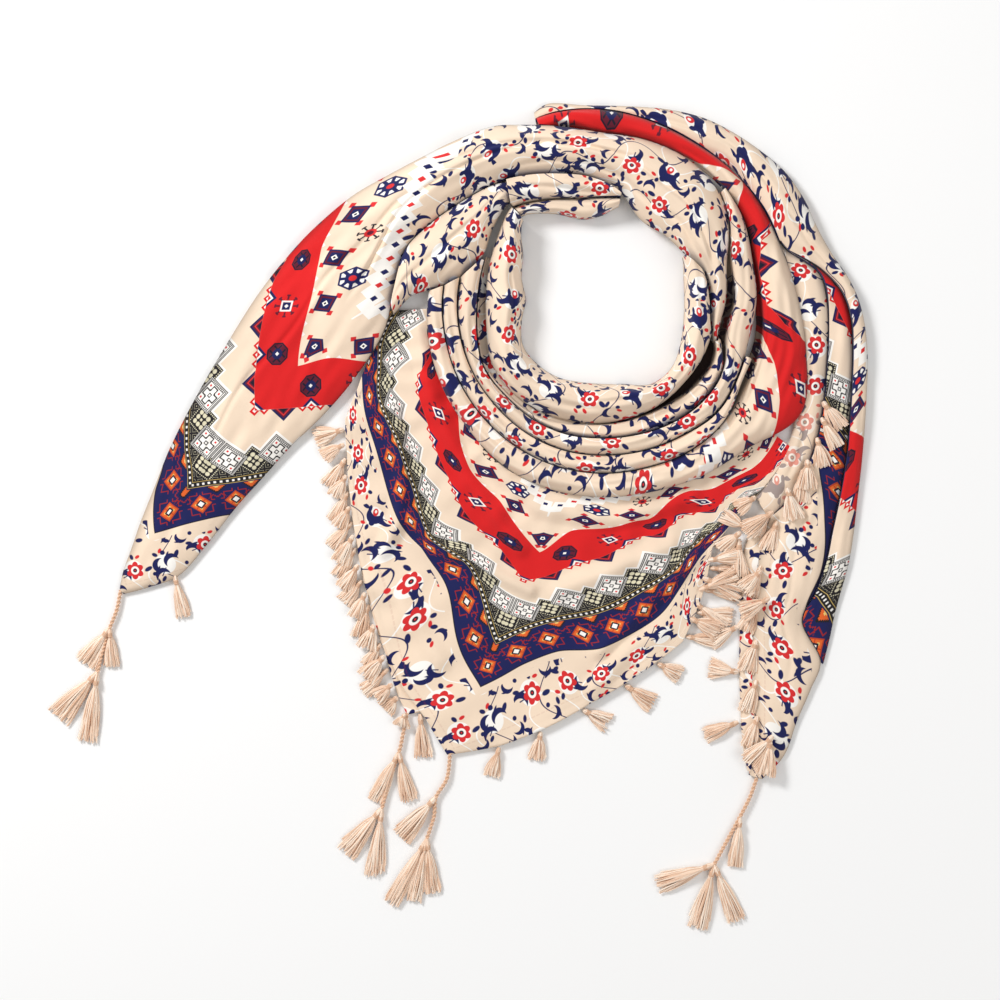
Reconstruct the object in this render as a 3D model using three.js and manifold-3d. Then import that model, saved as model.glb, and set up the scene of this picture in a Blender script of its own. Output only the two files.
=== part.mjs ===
// A square printed scarf with tasselled hems, folded corner to corner, wound once round
// and laid flat. Millimetres, +Z up, the underside on z = 0, the front corner towards -Y.
// Each stretch of cloth that shows is one solid: a rounded one where it hides folded
// layers, and a thin wall where one or two layers lie on each other. Places were read by
// hand from the photograph, across and down in its pixels, and PIXEL gives their real size.
import * as THREE from "three";
import { mergeVertices } from "three/addons/utils/BufferGeometryUtils.js";
import Module from "manifold-3d";

const wasm = await Module();
wasm.setup();

// Driving dimensions
const PIXEL = 0.6; // millimetres of cloth in one pixel of the photograph
const MIDDLE = { across: 460.2, down: 510.94 }; // the pixel over the part's origin
const NECK = { across: 602, down: 300 }; // the pixel at the centre of the neck opening
const CLOTH = 1.4; // wall of a panel: the cloth, with its turned hem
const GAP = 0.35; // air between neighbouring pieces
const TUCK = 2; // how far a fold leans over the next one out
const LIP = 0.45; // a stretch's side stands this share of its crown before it rounds over
const UNDERLAP = 3; // how far a stretch goes in below its inner neighbour before it is cut
const ROUND = 1.2; // how far a fold's foot is drawn in at the surface
const FOOT_SHARE = 0.2; // the most that a narrow fold's foot is drawn in, of its width
const FULLNESS = 2.4; // how steeply a fold rises from its lips to its crown
const PRISM = { low: -5, high: 60 }; // a cutting prism passes right through the heap
const PANEL_UNDER = 6; // how far a panel goes in under the collar band
const HEM_PAST = 6; // how far past the lower layer's hem the upper one still lies level
const DROOP = 14; // the run over which a panel comes down past the layer under it
const LEVEL_PAST = 0.1; // the upper layer's level part ends this much further out
const KNEE_SHARE = 0.96; // the furthest that the upper layer's knee lies out on its spoke
const MERGE = 1e-3; // points this close are one
const FOLD_STEP = 7.5; // degrees between sections of a fold round the neck
const CUT_PAST = 0.5; // degrees by which a fold's cutter runs past its ends
const PANEL_STEP = 5; // degrees between a panel's spokes
const SPOKE_APART = 1; // degrees that two spokes are apart at the least
const BENDS = [244.8, 251.2, 283.2, 293.9, 302.7]; // spokes through the hems' sharpest bends
const TIP_REACH = 6.4; // degrees over which the lower tip holds the upper layer up
const ROOT_PAST = 1.2; // a front tassel's head stands this far past the hem
const HEAD_SEAT = 2.15; // the hem is cut clear to this radius round the head
const PANEL_CELLS = 9; // cells along a spoke of the front panel
const HEAD_RADIUS = 1.5; // the bound head of a tassel
const HEAD_SIDES = 6; // sides of a head, and of its seat
const HEAD_ROWS = 3; // rows of faces from a head's top to its bottom
const LOCK_RADIUS = 1.1; // one lock of yarn
const LOCK_TAPER = [0.8, 1, 0.7]; // a lock's radius at its root, waist and tip
const LOCK_SIDES = 3; // sides of a lock
const LOCK_STAGGER = 0.12; // neighbouring locks end this share of their length apart
const WAIST_SPREAD = 0.62; // a tassel's spread half way down, as a share of that at its ends
const WAIST_LIFT = 0.3; // a lock's waist lies this much over its tip
const LOCKS = 3; // locks in a hem tassel
const TASSEL_WIDTH = 8; // a hem tassel's spread at its ends
const CORNER_LOCKS = 3; // locks in one tassel of a corner cluster
const CORD_RADIUS = 1.2; // the cord that carries a corner cluster
const CORD_SIDES = 4; // sides of that cord
const FLOOR_CLEAR = 0.4; // yarn lies just above the surface

const LOOKS = {
  cloth: { color: 0xe9d3b8, roughness: 0.9, metalness: 0 },
  band: { color: 0xd12b22, roughness: 0.9, metalness: 0 },
  yarn: { color: 0xe6c8a6, roughness: 0.95, metalness: 0 },
};

// Folds round the neck, as distances from its centre every 15 degrees, anticlockwise.
const EVERY = 15;
const CREASES = {
  rim: {
    first: 135,
    r: [111, 91, 83, 76, 83, 91, 91, 89, 85, 84, 87, 97, 97, 90, 84, 82, 84, 91],
  },
  one: {
    first: 135,
    r: [126, 118, 114, 113, 116, 124, 126, 125, 122, 120, 118, 116, 113, 112, 110, 106, 104, 96],
  },
  two: {
    first: 150,
    r: [121, 120, 121, 126, 133, 133, 135, 136, 135, 136, 138, 139, 135, 118, 123, 128, 143, 160],
  },
  three: {
    first: 150,
    r: [136, 139, 141, 143, 145, 147, 150, 152, 152, 153, 154, 157, 152, 148, 150, 151, 158, 162],
  },
  four: {
    first: 150,
    r: [
      148, 153, 156, 158, 161, 164, 167, 169, 170, 170, 171, 168,
      158, 157, 153, 154, 160, 163, 163, 163, 165, 178,
    ],
  },
  five: {
    first: 150,
    r: [
      160, 167, 171, 175, 179, 183, 190, 193, 194, 195, 199, 205,
      225, 207, 192, 183, 181, 179, 178, 181, 186, 189,
    ],
  },
  topRim: { first: 75, r: [98, 84, 83, 99, 116] },
  topOne: { first: 75, r: [100, 98, 100, 110, 123] },
  topTwo: { first: 75, r: [106, 118, 131, 147, 163] },
};

// One fold runs from crease to crease and from angle to angle. Its crown and its lips are
// heights over the surface, and peak is where the crown lies, as a share of the width.
const roll = (name, [inner, outer], [from, to], crown, [inLip, outLip], peak) => {
  return { name, inner, outer, from, to, crown, inLip, outLip, peak };
};
const ROLLS = [
  roll("neck_fold_1", ["rim", "one"], [135, 388], 19, [1.5, 9], 0.5),
  roll("neck_fold_2", ["one", "two"], [160, 341], 12, [6, 7], 0.7),
  roll("neck_fold_3", ["two", "three"], [162, 402], 16, [6, 8], 0.55),
  roll("neck_fold_4", ["three", "four"], [162, 338], 14, [6, 7], 0.6),
  roll("collar_band", ["four", "five"], [162, 470], 12.5, [5, 5], 0.55),
  roll("back_fold_1", ["topRim", "topOne"], [80, 134], 13, [1.5, 8], 0.5),
  roll("back_fold_2", ["topOne", "topTwo"], [80, 134], 17, [7, 10], 0.6),
];

// Long stretches, from one end to the other: the left edge, the right edge, the crown in mm.
const row = (ax, ay, bx, by, crown) => ({ ax, ay, bx, by, crown });

const TAIL_BAND = [
  row(120, 588, 124, 594, 3),
  row(124, 570, 150, 587, 4),
  row(132, 548, 180, 575, 4.5),
  row(141, 522, 207, 545, 5),
  row(155, 487, 236, 508, 5.5),
  row(171, 447, 263, 478, 6),
  row(195, 400, 291, 447, 7),
  row(228, 343, 321, 418, 8),
  row(262, 290, 347, 389, 9),
  row(298, 246, 370, 357, 11),
  row(328, 217, 386, 327, 13),
  row(356, 195, 394, 290, 15),
  row(386, 178, 405, 252, 17),
  row(418, 161, 427, 228, 18),
  row(452, 144, 457, 206, 20),
  row(490, 129, 492, 187, 21),
  row(527, 127, 523, 178, 22),
  row(563, 129, 556, 176, 23),
  row(602, 135, 590, 179, 24),
  row(644, 142, 618, 193, 24),
  row(683, 159, 640, 222, 24),
  row(714, 188, 665, 238, 23),
  row(728, 225, 684, 256, 21),
  row(726, 262, 702, 273, 19),
  row(725, 300, 708, 300, 17),
  row(720, 322, 709, 322, 14),
  row(716, 342, 712, 342, 10),
];
const CROSS_FOLD = [
  row(388, 296, 394, 315, 11),
  row(396, 268, 412, 297, 14),
  row(405, 249, 434, 290, 17),
  row(425, 229, 453, 282, 19),
  row(446, 213, 468, 272, 20),
  row(468, 198, 484, 255, 20),
  row(486, 188, 492, 232, 19),
  row(498, 184, 503, 212, 17),
  row(506, 182, 510, 204, 14),
];
const OUTER_WRAP = [
  row(818, 661, 823, 664, 2.5),
  row(804, 637, 829, 640, 3),
  row(798, 618, 835, 612, 3.5),
  row(806, 600, 841, 590, 4),
  row(820, 575, 848, 565, 4.5),
  row(826, 550, 853, 535, 5),
  row(833, 515, 857, 500, 5.5),
  row(840, 480, 861, 465, 6),
  row(845, 445, 864, 430, 6.5),
  row(849, 410, 866, 395, 7),
  row(853, 370, 867, 360, 7.5),
  row(853, 335, 864, 325, 8),
  row(848, 304, 857, 298, 9),
  row(836, 281, 846, 276, 10),
  row(815, 264, 832, 256, 11.5),
  row(796, 255, 818, 232, 12.5),
  row(780, 241, 803, 200, 13),
  row(765, 215, 783, 172, 13),
  row(750, 188, 757, 150, 12.5),
  row(728, 162, 728, 131, 12),
  row(700, 148, 700, 118, 11),
  row(665, 132, 665, 110, 9.5),
  row(625, 122, 625, 107, 8),
  row(585, 116, 585, 106, 7),
  row(552, 117, 550, 104, 6),
  row(536, 124, 534, 113, 4),
];
const INNER_WRAP = [
  row(757, 500, 768, 518, 3.5),
  row(772, 480, 788, 500, 4),
  row(786, 458, 804, 472, 4.5),
  row(796, 436, 816, 442, 4.5),
  row(800, 405, 823, 405, 4.5),
  row(802, 370, 826, 370, 4.5),
  row(800, 335, 828, 335, 4.5),
  row(796, 305, 827, 302, 4.5),
  row(791, 281, 821, 277, 4.5),
  row(786, 267, 807, 264, 4.5),
  row(780, 255, 788, 252, 4.5),
  row(774, 244, 779, 242, 4),
];
const RIGHT_TAIL = [
  row(753, 776, 762, 779, 3),
  row(757, 755, 784, 755, 3.5),
  row(758, 720, 797, 720, 4),
  row(757, 690, 810, 690, 4.5),
  row(757, 655, 820, 660, 4.5),
  row(758, 620, 802, 622, 4.5),
  row(760, 590, 815, 592, 4.5),
  row(763, 560, 826, 560, 4.5),
  row(772, 525, 832, 530, 4.5),
  row(784, 492, 840, 492, 4.5),
  row(798, 460, 846, 455, 4.5),
  row(812, 425, 849, 420, 4.5),
  row(823, 390, 851, 385, 4.5),
  row(826, 350, 852, 350, 4.5),
  row(826, 315, 850, 318, 4.5),
  row(817, 288, 840, 291, 7.5),
  row(802, 267, 820, 270, 7.875),
  row(787, 251, 797, 256, 4.5),
];
const RIGHT_UNDER = [
  row(747, 770, 757, 776, 1.8),
  row(742, 740, 768, 740, 2),
  row(740, 700, 768, 700, 2),
  row(739, 660, 768, 660, 2),
  row(740, 620, 770, 620, 2),
  row(741, 580, 772, 580, 2),
  row(744, 550, 776, 550, 2),
  row(752, 528, 784, 525, 1.8),
];

// The two free corners, as distances of their hems from the neck's centre.
const FRONT_HEM = [
  { angle: 181, r: 212 },
  { angle: 192, r: 232 },
  { angle: 200, r: 260 },
  { angle: 205, r: 283 },
  { angle: 211.3, r: 298 },
  { angle: 218.5, r: 321 },
  { angle: 225.1, r: 346 },
  { angle: 232, r: 377 },
  { angle: 238.3, r: 411 },
  { angle: 243.1, r: 437 },
  { angle: 247.2, r: 454 },
  { angle: 251.2, r: 480 },
  { angle: 257.1, r: 457 },
  { angle: 262.8, r: 430 },
  { angle: 268.6, r: 402 },
  { angle: 275.8, r: 375 },
  { angle: 283.2, r: 351 },
  { angle: 288.7, r: 312 },
  { angle: 293.9, r: 271 },
  { angle: 302.7, r: 252 },
  { angle: 312.4, r: 246 },
  { angle: 324, r: 238 },
];
const UNDER_HEM = [
  { angle: 198, r: 250 },
  { angle: 205, r: 281 },
  { angle: 211.3, r: 296 },
  { angle: 218.5, r: 320 },
  { angle: 225.1, r: 347 },
  { angle: 232, r: 379 },
  { angle: 238.3, r: 413 },
  { angle: 242, r: 440 },
  { angle: 244.8, r: 458 },
  { angle: 248, r: 440 },
  { angle: 257.1, r: 430 },
  { angle: 268.6, r: 385 },
  { angle: 283.2, r: 335 },
  { angle: 293.9, r: 262 },
  { angle: 305, r: 238 },
];

// Soft ridges of the front corner: a line of points, its height and its half width.
const RIDGES = [
  { high: 4.2, wide: 8, line: [[392, 410], [404, 475], [398, 520], [384, 550]] },
  { high: 3.2, wide: 8, line: [[418, 330], [432, 400], [470, 480], [520, 548]] },
  { high: 3.4, wide: 7, line: [[408, 515], [440, 548], [480, 566], [530, 590]] },
  { high: 3.6, wide: 9, line: [[480, 455], [540, 508], [610, 520], [690, 500]] },
  { high: 3.8, wide: 8, line: [[600, 650], [645, 606], [690, 562]] },
  { high: 3.0, wide: 9, line: [[560, 590], [610, 570], [670, 545]] },
  { high: 2.4, wide: 10, line: [[365, 585], [400, 600], [440, 660]] },
  { high: 2.6, wide: 9, line: [[590, 690], [630, 650], [660, 630]] },
];

// Hem tassels: where each hangs from, where its ends lie, and how high in mm it rests.
const tassel = (x, y, toX, toY, lift) => ({ x, y, toX, toY, lift });

const FRONT_TASSELS = [
  tassel(347, 428, 318, 437, 0),
  tassel(347, 458, 330, 484, 0),
  tassel(350, 490, 336, 518, 0),
  tassel(354, 520, 334, 545, 0),
  tassel(358, 546, 340, 574, 0),
  tassel(366, 576, 346, 600, 0),
  tassel(372, 600, 360, 634, 0),
  tassel(384, 638, 368, 664, 0),
  tassel(392, 662, 366, 690, 0),
  tassel(402, 688, 386, 708, 0),
  tassel(421, 712, 424, 752, 0),
  tassel(500, 744, 492, 773, 0),
  tassel(541, 729, 537, 757, 0),
  tassel(583, 706, 606, 722, 0),
  tassel(625, 681, 650, 702, 0),
  tassel(657, 660, 678, 674, 0),
  tassel(686, 636, 714, 640, 0),
  tassel(697, 612, 728, 616, 0),
  tassel(704, 588, 734, 592, 0),
  tassel(708, 564, 736, 570, 0),
  tassel(714, 543, 738, 548, 0),
];
const RIGHT_TASSELS = [
  tassel(738, 672, 712, 668, 0),
  tassel(738, 722, 708, 734, 0),
  tassel(761, 566, 748, 592, 2),
  tassel(758, 602, 746, 628, 2),
  tassel(756, 640, 747, 668, 2),
  tassel(756, 680, 747, 708, 2),
  tassel(757, 716, 749, 744, 2),
  tassel(822, 402, 838, 426, 3.6),
  tassel(816, 438, 822, 464, 3.6),
  tassel(802, 470, 800, 500, 3.6),
  tassel(755, 497, 738, 508, 2.8),
  tassel(768, 516, 757, 532, 1),
  tassel(776, 521, 768, 548, 2.6),
];

// Corner clusters: a cord from the corner to a bound head, and shorter tassels below it.
const CLUSTERS = [
  {
    name: "corner_tassel_left",
    cord: [[121, 590], [117, 610], [110, 628], [103, 650], [98, 672]],
    tassels: [
      { x: 110, y: 628, toX: 88, toY: 660, width: 12 },
      { x: 110, y: 628, toX: 112, toY: 662, width: 8 },
      { x: 98, y: 672, toX: 63, toY: 712, width: 14 },
      { x: 98, y: 672, toX: 89, toY: 733, width: 11 },
    ],
  },
  {
    name: "corner_tassel_under",
    cord: [[407, 713], [403, 734], [399, 752], [390, 778], [382, 808]],
    tassels: [
      { x: 399, y: 752, toX: 378, toY: 795, width: 9 },
      { x: 399, y: 752, toX: 408, toY: 795, width: 9 },
      { x: 382, y: 808, toX: 350, toY: 848, width: 12 },
      { x: 382, y: 808, toX: 375, toY: 868, width: 10 },
    ],
  },
  {
    name: "corner_tassel_front",
    cord: [[450, 753], [447, 778], [436, 797], [434, 816], [427, 838]],
    tassels: [
      { x: 436, y: 797, toX: 405, toY: 832, width: 12 },
      { x: 427, y: 838, toX: 396, toY: 896, width: 9 },
      { x: 427, y: 838, toX: 415, toY: 893, width: 8 },
      { x: 427, y: 838, toX: 432, toY: 886, width: 9 },
    ],
  },
  {
    name: "corner_tassel_right",
    cord: [[757, 776], [750, 796], [740, 816], [727, 840], [714, 864]],
    tassels: [
      { x: 740, y: 816, toX: 736, toY: 860, width: 8 },
      { x: 714, y: 864, toX: 664, toY: 882, width: 11 },
      { x: 714, y: 864, toX: 699, toY: 920, width: 11 },
      { x: 714, y: 864, toX: 734, toY: 914, width: 10 },
    ],
  },
];

// Smooth values between the rows of a table
function cubic(p, q, r, s, t) {
  const bend = 2 * p - 5 * q + 4 * r - s;
  const twist = 3 * q - p - 3 * r + s;
  return q + 0.5 * t * (r - p + t * (bend + t * twist));
}

function creaseAt(name, degrees) {
  const { first, r } = CREASES[name];
  const place = (degrees - first) / EVERY;
  const i = Math.min(r.length - 2, Math.max(0, Math.floor(place)));
  const at = (k) => r[Math.min(r.length - 1, Math.max(0, k))];
  const t = Math.min(1, Math.max(0, place - i));
  return PIXEL * cubic(at(i - 1), at(i), at(i + 1), at(i + 2), t);
}

function hemAt(table, degrees) {
  let i = 0;
  while (i < table.length - 2 && table[i + 1].angle < degrees) i++;
  const t = (degrees - table[i].angle) / (table[i + 1].angle - table[i].angle);
  return PIXEL * THREE.MathUtils.lerp(table[i].r, table[i + 1].r, THREE.MathUtils.clamp(t, 0, 1));
}

function refine(rows, parts) {
  const fine = [];
  const at = (k) => rows[Math.min(rows.length - 1, Math.max(0, k))];
  for (let i = 0; i < rows.length - 1; i++) {
    for (let n = 0; n < parts; n++) {
      const between = {};
      for (const key of Object.keys(rows[i])) {
        between[key] = cubic(at(i - 1)[key], at(i)[key], at(i + 1)[key], at(i + 2)[key], n / parts);
      }
      fine.push(between);
    }
  }
  fine.push({ ...rows[rows.length - 1] });
  return fine;
}

// Places in the part's own frame
const place = (across, down) =>
  new THREE.Vector2((across - MIDDLE.across) * PIXEL, (MIDDLE.down - down) * PIXEL);
const neck = place(NECK.across, NECK.down);

function polar(degrees, distance) {
  const turn = THREE.MathUtils.degToRad(degrees);
  return new THREE.Vector2(Math.cos(turn), Math.sin(turn)).multiplyScalar(distance).add(neck);
}

// Solids
function solidOf(geometry) {
  geometry.deleteAttribute("normal");
  geometry.deleteAttribute("uv");
  const merged = mergeVertices(geometry, MERGE);
  const solid = new wasm.Manifold(
    new wasm.Mesh({
      numProp: 3,
      vertProperties: new Float32Array(merged.attributes.position.array),
      triVerts: new Uint32Array(merged.index.array),
    }),
  );
  return solid;
}

function geometryOf(solid) {
  const { vertProperties, triVerts } = solid.getMesh();
  const geometry = new THREE.BufferGeometry();
  geometry.setAttribute("position", new THREE.BufferAttribute(vertProperties, 3));
  geometry.setIndex(new THREE.BufferAttribute(triVerts, 1));
  geometry.computeVertexNormals();
  return geometry;
}

// Faces between neighbouring rings of points, all alike in count
function between(rings) {
  const count = rings[0].length;
  const faces = [];
  for (let i = 0; i < rings.length - 1; i++) {
    for (let j = 0; j < count; j++) {
      const here = i * count;
      const k = (j + 1) % count;
      faces.push(here + j, here + k, here + count + k);
      faces.push(here + j, here + count + k, here + count + j);
    }
  }
  return faces;
}

// The end caps' faces on the first and the last ring: the first is turned round.
function caps(rings, facesOf) {
  return [0, rings.length - 1].flatMap((at) =>
    facesOf(at * rings[0].length, at).flatMap((face) => (at === 0 ? face.reverse() : face)),
  );
}

function closed(points, faces) {
  const geometry = new THREE.BufferGeometry();
  geometry.setAttribute("position", new THREE.Float32BufferAttribute(points.flat(), 3));
  geometry.setIndex(faces);
  const solid = solidOf(geometry);
  return solid.volume() > 0 ? solid : mirrored(geometry);
}

// Rings of [x, y, z] points joined side by side, each end closed round its own middle
function skin(rings) {
  const count = rings[0].length;
  const points = rings.flat();
  const ends = caps(rings, (here, at) => {
    const sum = (axis) => rings[at].reduce((total, point) => total + point[axis], 0);
    points.push([0, 1, 2].map((axis) => sum(axis) / count));
    const middle = points.length - 1;
    return rings[at].map((_, j) => [here + j, here + ((j + 1) % count), middle]);
  });
  return closed(points, [...between(rings), ...ends]);
}

function mirrored(geometry) {
  const index = Array.from(geometry.index.array);
  for (let i = 0; i < index.length; i += 3) {
    [index[i], index[i + 1]] = [index[i + 1], index[i]];
  }
  geometry.setIndex(index);
  return solidOf(geometry);
}

// The section of a fold between its two creases: a flat foot, two lips and a round crown.
const CROWN_AT = [0.82, 0.5, 0.18];

function foldSection(a, b, shape) {
  const across = b.clone().sub(a);
  const width = across.length();
  across.normalize();
  const point = (along, z) => [a.x + across.x * along, a.y + across.y * along, z];
  const foot = Math.min(ROUND, width * FOOT_SHARE);
  const crown = (u) => {
    const lip = THREE.MathUtils.lerp(shape.inLip, shape.outLip, u);
    const side = u < shape.peak ? u / shape.peak : (1 - u) / (1 - shape.peak);
    const rise = 1 - (1 - side) ** FULLNESS;
    return lip + (shape.crown - lip) * rise;
  };
  return [
    point(foot, 0),
    point(width - foot, 0),
    point(width + shape.outLean, shape.outLip),
    ...CROWN_AT.map((u) => point(width * u, crown(u))),
    point(0, shape.inLip),
  ];
}

// A cutter is a rectangle over the same two creases, wider by the gap, from below to above.
function prismSection(a, b) {
  const across = b.clone().sub(a).normalize();
  const p = a.clone().addScaledVector(across, -GAP);
  const q = b.clone().addScaledVector(across, GAP);
  return [
    [p.x, p.y, PRISM.low],
    [q.x, q.y, PRISM.low],
    [q.x, q.y, PRISM.high],
    [p.x, p.y, PRISM.high],
  ];
}

// A fold's own cutter follows its leaning sides, so that the next fold tucks in under it.
function cutterSection(a, b, shape) {
  const across = b.clone().sub(a);
  const width = across.length();
  across.normalize();
  const point = (along, z) => [a.x + across.x * along, a.y + across.y * along, z];
  const foot = Math.min(ROUND, width * FOOT_SHARE);
  return [
    point(foot - GAP, PRISM.low),
    point(width - foot + GAP, PRISM.low),
    point(width - foot + GAP, 0),
    point(width + shape.outLean + GAP, shape.outLip - GAP),
    point(width + shape.outLean + GAP, PRISM.high),
    point(-GAP, PRISM.high),
    point(-GAP, shape.inLip),
    point(foot - GAP, 0),
  ];
}

// Neighbours have their sections on the same spokes, so that their faces meet cleanly.
function spokes({ from, to }, step, corners = []) {
  const angles = [from, to, ...corners];
  for (let i = Math.ceil((from + SPOKE_APART) / step); i * step < to - SPOKE_APART; i++) {
    if (corners.every((corner) => Math.abs(corner - i * step) > SPOKE_APART)) angles.push(i * step);
  }
  return angles.sort((p, q) => p - q);
}

function neckFold(fold) {
  const shape = { outLean: TUCK, ...fold };
  const sections = (from, to, section) =>
    spokes({ from, to }, FOLD_STEP).map((degrees) => {
      const a = polar(degrees, creaseAt(fold.inner, degrees));
      const b = polar(degrees, creaseAt(fold.outer, degrees));
      return section(a, b, shape);
    });
  return {
    solid: skin(sections(fold.from, fold.to, foldSection)),
    cutter: skin(sections(fold.from - CUT_PAST, fold.to + CUT_PAST, cutterSection)),
  };
}

// A stretch under its inner neighbour starts a little way in below it, and is cut back there.
function stretch(rows, parts, under = 0) {
  const edges = refine(rows, parts).map(({ ax, ay, bx, by, crown }) => {
    const b = place(bx, by);
    const a = place(ax, ay);
    a.addScaledVector(a.clone().sub(b).normalize(), under);
    return { a, b, shape: { crown, inLip: crown * LIP, outLip: crown * LIP, outLean: 0, peak: 0.5 } };
  });
  return {
    solid: skin(edges.map(({ a, b, shape }) => foldSection(a, b, shape))),
    cutter: skin(edges.map(({ a, b }) => prismSection(a, b))),
  };
}

// Even cells up to a bend, and even cells from there on
function broken(start, bend, end, j, cell, cells) {
  return j < cell
    ? THREE.MathUtils.lerp(start, bend, j / cell)
    : THREE.MathUtils.lerp(bend, end, (j - cell) / (cells - cell));
}

// Panels: a wall over a grid of spokes from the neck's centre
function ridgeHeight(point) {
  let height = 0;
  for (const { high, wide, line } of RIDGES) {
    let nearest = Infinity;
    for (let i = 0; i < line.length - 1; i++) {
      const segment = new THREE.Line3(
        new THREE.Vector3(...place(...line[i]), 0),
        new THREE.Vector3(...place(...line[i + 1]), 0),
      );
      const here = new THREE.Vector3(point.x, point.y, 0);
      const foot = segment.closestPointToPoint(here, true, new THREE.Vector3());
      nearest = Math.min(nearest, foot.distanceTo(here));
    }
    height = Math.max(height, high * THREE.MathUtils.smoothstep(wide - nearest, 0, wide));
  }
  return height;
}

function panel({ from, to, cells, innerAt, hem, knee, heightAt }) {
  const rings = [];
  for (const degrees of spokes({ from, to }, PANEL_STEP, BENDS)) {
    const start = innerAt(degrees);
    const end = hemAt(hem, degrees);
    const bend = knee ? Math.min(knee.at(degrees), THREE.MathUtils.lerp(start, end, KNEE_SHARE)) : end;
    const low = [];
    const high = [];
    for (let j = 0; j <= cells; j++) {
      const r = knee
        ? broken(start, bend, end, j, knee.cell, cells)
        : THREE.MathUtils.lerp(start, end, j / cells);
      const point = polar(degrees, r);
      const z = heightAt(point, degrees, r);
      low.push([point.x, point.y, z]);
      high.unshift([point.x, point.y, z + CLOTH]);
    }
    rings.push([...low, ...high]);
  }
  return panelSkin(rings, cells);
}

// A panel's two ends are strips of the same cells, so that the caps stay flat and thin.
function panelSkin(rings, cells) {
  const count = rings[0].length;
  const ends = caps(rings, (here) =>
    Array.from({ length: cells }, (_, j) => [
      [here + j, here + j + 1, here + count - 2 - j],
      [here + j, here + count - 2 - j, here + count - 1 - j],
    ]).flat(),
  );
  return closed(rings.flat(), [...between(rings), ...ends]);
}

// Tassels
function tube(points, radii, sides) {
  const rings = points.map((point, i) => {
    const ahead = points[Math.min(points.length - 1, i + 1)];
    const behind = points[Math.max(0, i - 1)];
    const along = ahead.clone().sub(behind).normalize();
    const side = new THREE.Vector3(-along.y, along.x, 0).normalize();
    const up = new THREE.Vector3().crossVectors(side, along).negate();
    return Array.from({ length: sides }, (_, n) => {
      const turn = ((n + 0.5) / sides) * 2 * Math.PI;
      const rim = point
        .clone()
        .addScaledVector(side, Math.cos(turn) * radii[i])
        .addScaledVector(up, Math.sin(turn) * radii[i]);
      return rim.toArray();
    });
  });
  return skin(rings);
}

function tasselSolid({ root, end, width, lift, locks }, grow = 0) {
  const down = end.clone().sub(root);
  const side = new THREE.Vector2(-down.y, down.x).normalize();
  const top = lift + FLOOR_CLEAR + HEAD_RADIUS;
  const head = new THREE.SphereGeometry(HEAD_RADIUS + grow, HEAD_SIDES, HEAD_ROWS);
  head.rotateX(Math.PI / 2);
  head.translate(root.x, root.y, top);
  let solid = solidOf(head);
  for (let n = 0; n < locks; n++) {
    const spread = locks > 1 ? n / (locks - 1) - 0.5 : 0;
    const reach = 1 - LOCK_STAGGER * ((n * 2) % 3);
    const tip = root.clone().addScaledVector(down, reach).addScaledVector(side, spread * width);
    const waist = root
      .clone()
      .addScaledVector(down, reach / 2)
      .addScaledVector(side, spread * width * WAIST_SPREAD);
    const low = lift + FLOOR_CLEAR + LOCK_RADIUS;
    const lock = tube(
      [
        new THREE.Vector3(root.x, root.y, top),
        new THREE.Vector3(waist.x, waist.y, low + WAIST_LIFT),
        new THREE.Vector3(tip.x, tip.y, low),
      ],
      LOCK_TAPER.map((share) => LOCK_RADIUS * share + 2 * grow),
      LOCK_SIDES,
    );
    solid = solid.add(lock);
  }
  return solid;
}

// A front tassel hangs at the outermost hem, and the hems are cut clear of its head.
function frontTassel({ x, y, toX, toY, lift }) {
  const arm = place(x, y).sub(neck);
  const degrees = (THREE.MathUtils.radToDeg(Math.atan2(arm.y, arm.x)) + 360) % 360;
  const hem = Math.max(hemAt(FRONT_HEM, degrees), hemAt(UNDER_HEM, degrees));
  const root = polar(degrees, hem + ROOT_PAST);
  const seat = new THREE.CylinderGeometry(HEAD_SEAT, HEAD_SEAT, PRISM.high - PRISM.low, HEAD_SIDES);
  seat.rotateX(Math.PI / 2);
  seat.translate(root.x, root.y, (PRISM.high + PRISM.low) / 2);
  const shape = { root, end: place(toX, toY), width: TASSEL_WIDTH, lift, locks: LOCKS };
  return { solid: tasselSolid(shape), cutter: solidOf(seat) };
}

// A right tassel lies on the cloth beside its hem, which is pressed in a little under it.
function rightTassel({ x, y, toX, toY, lift }) {
  const shape = { root: place(x, y), end: place(toX, toY), width: TASSEL_WIDTH, lift, locks: LOCKS };
  return { solid: tasselSolid(shape), cutter: tasselSolid(shape, GAP) };
}

function cluster({ cord, tassels }) {
  const top = FLOOR_CLEAR + HEAD_RADIUS;
  const route = cord.map(([x, y]) => new THREE.Vector3(...place(x, y), top));
  let solid = tube(route, route.map(() => CORD_RADIUS), CORD_SIDES);
  for (const { x, y, toX, toY, width } of tassels) {
    const shape = { root: place(x, y), end: place(toX, toY), width, lift: 0, locks: CORNER_LOCKS };
    solid = solid.add(tasselSolid(shape));
  }
  const start = route.slice(0, 2);
  const seat = tube(start, start.map(() => CORD_RADIUS + 2 * GAP), CORD_SIDES);
  return { solid, cutter: seat };
}

// The heap, from the pieces on top to those below: each is cut clear of all before it.
const fold = Object.fromEntries(ROLLS.map((one) => [one.name, neckFold(one)]));
const underTop = CLOTH + GAP;

// The upper layer lies level as far as the lower one's hem reaches on this spoke or beside it.
function coverAt(degrees) {
  return Math.max(...[-TIP_REACH, 0, TIP_REACH].map((turn) => hemAt(UNDER_HEM, degrees + turn)));
}

function frontHeight(point, degrees, r) {
  const past = r - coverAt(degrees);
  const droop = THREE.MathUtils.smoothstep(past, HEM_PAST + LEVEL_PAST, HEM_PAST + DROOP);
  return underTop * (1 - droop) + ridgeHeight(point);
}

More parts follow.
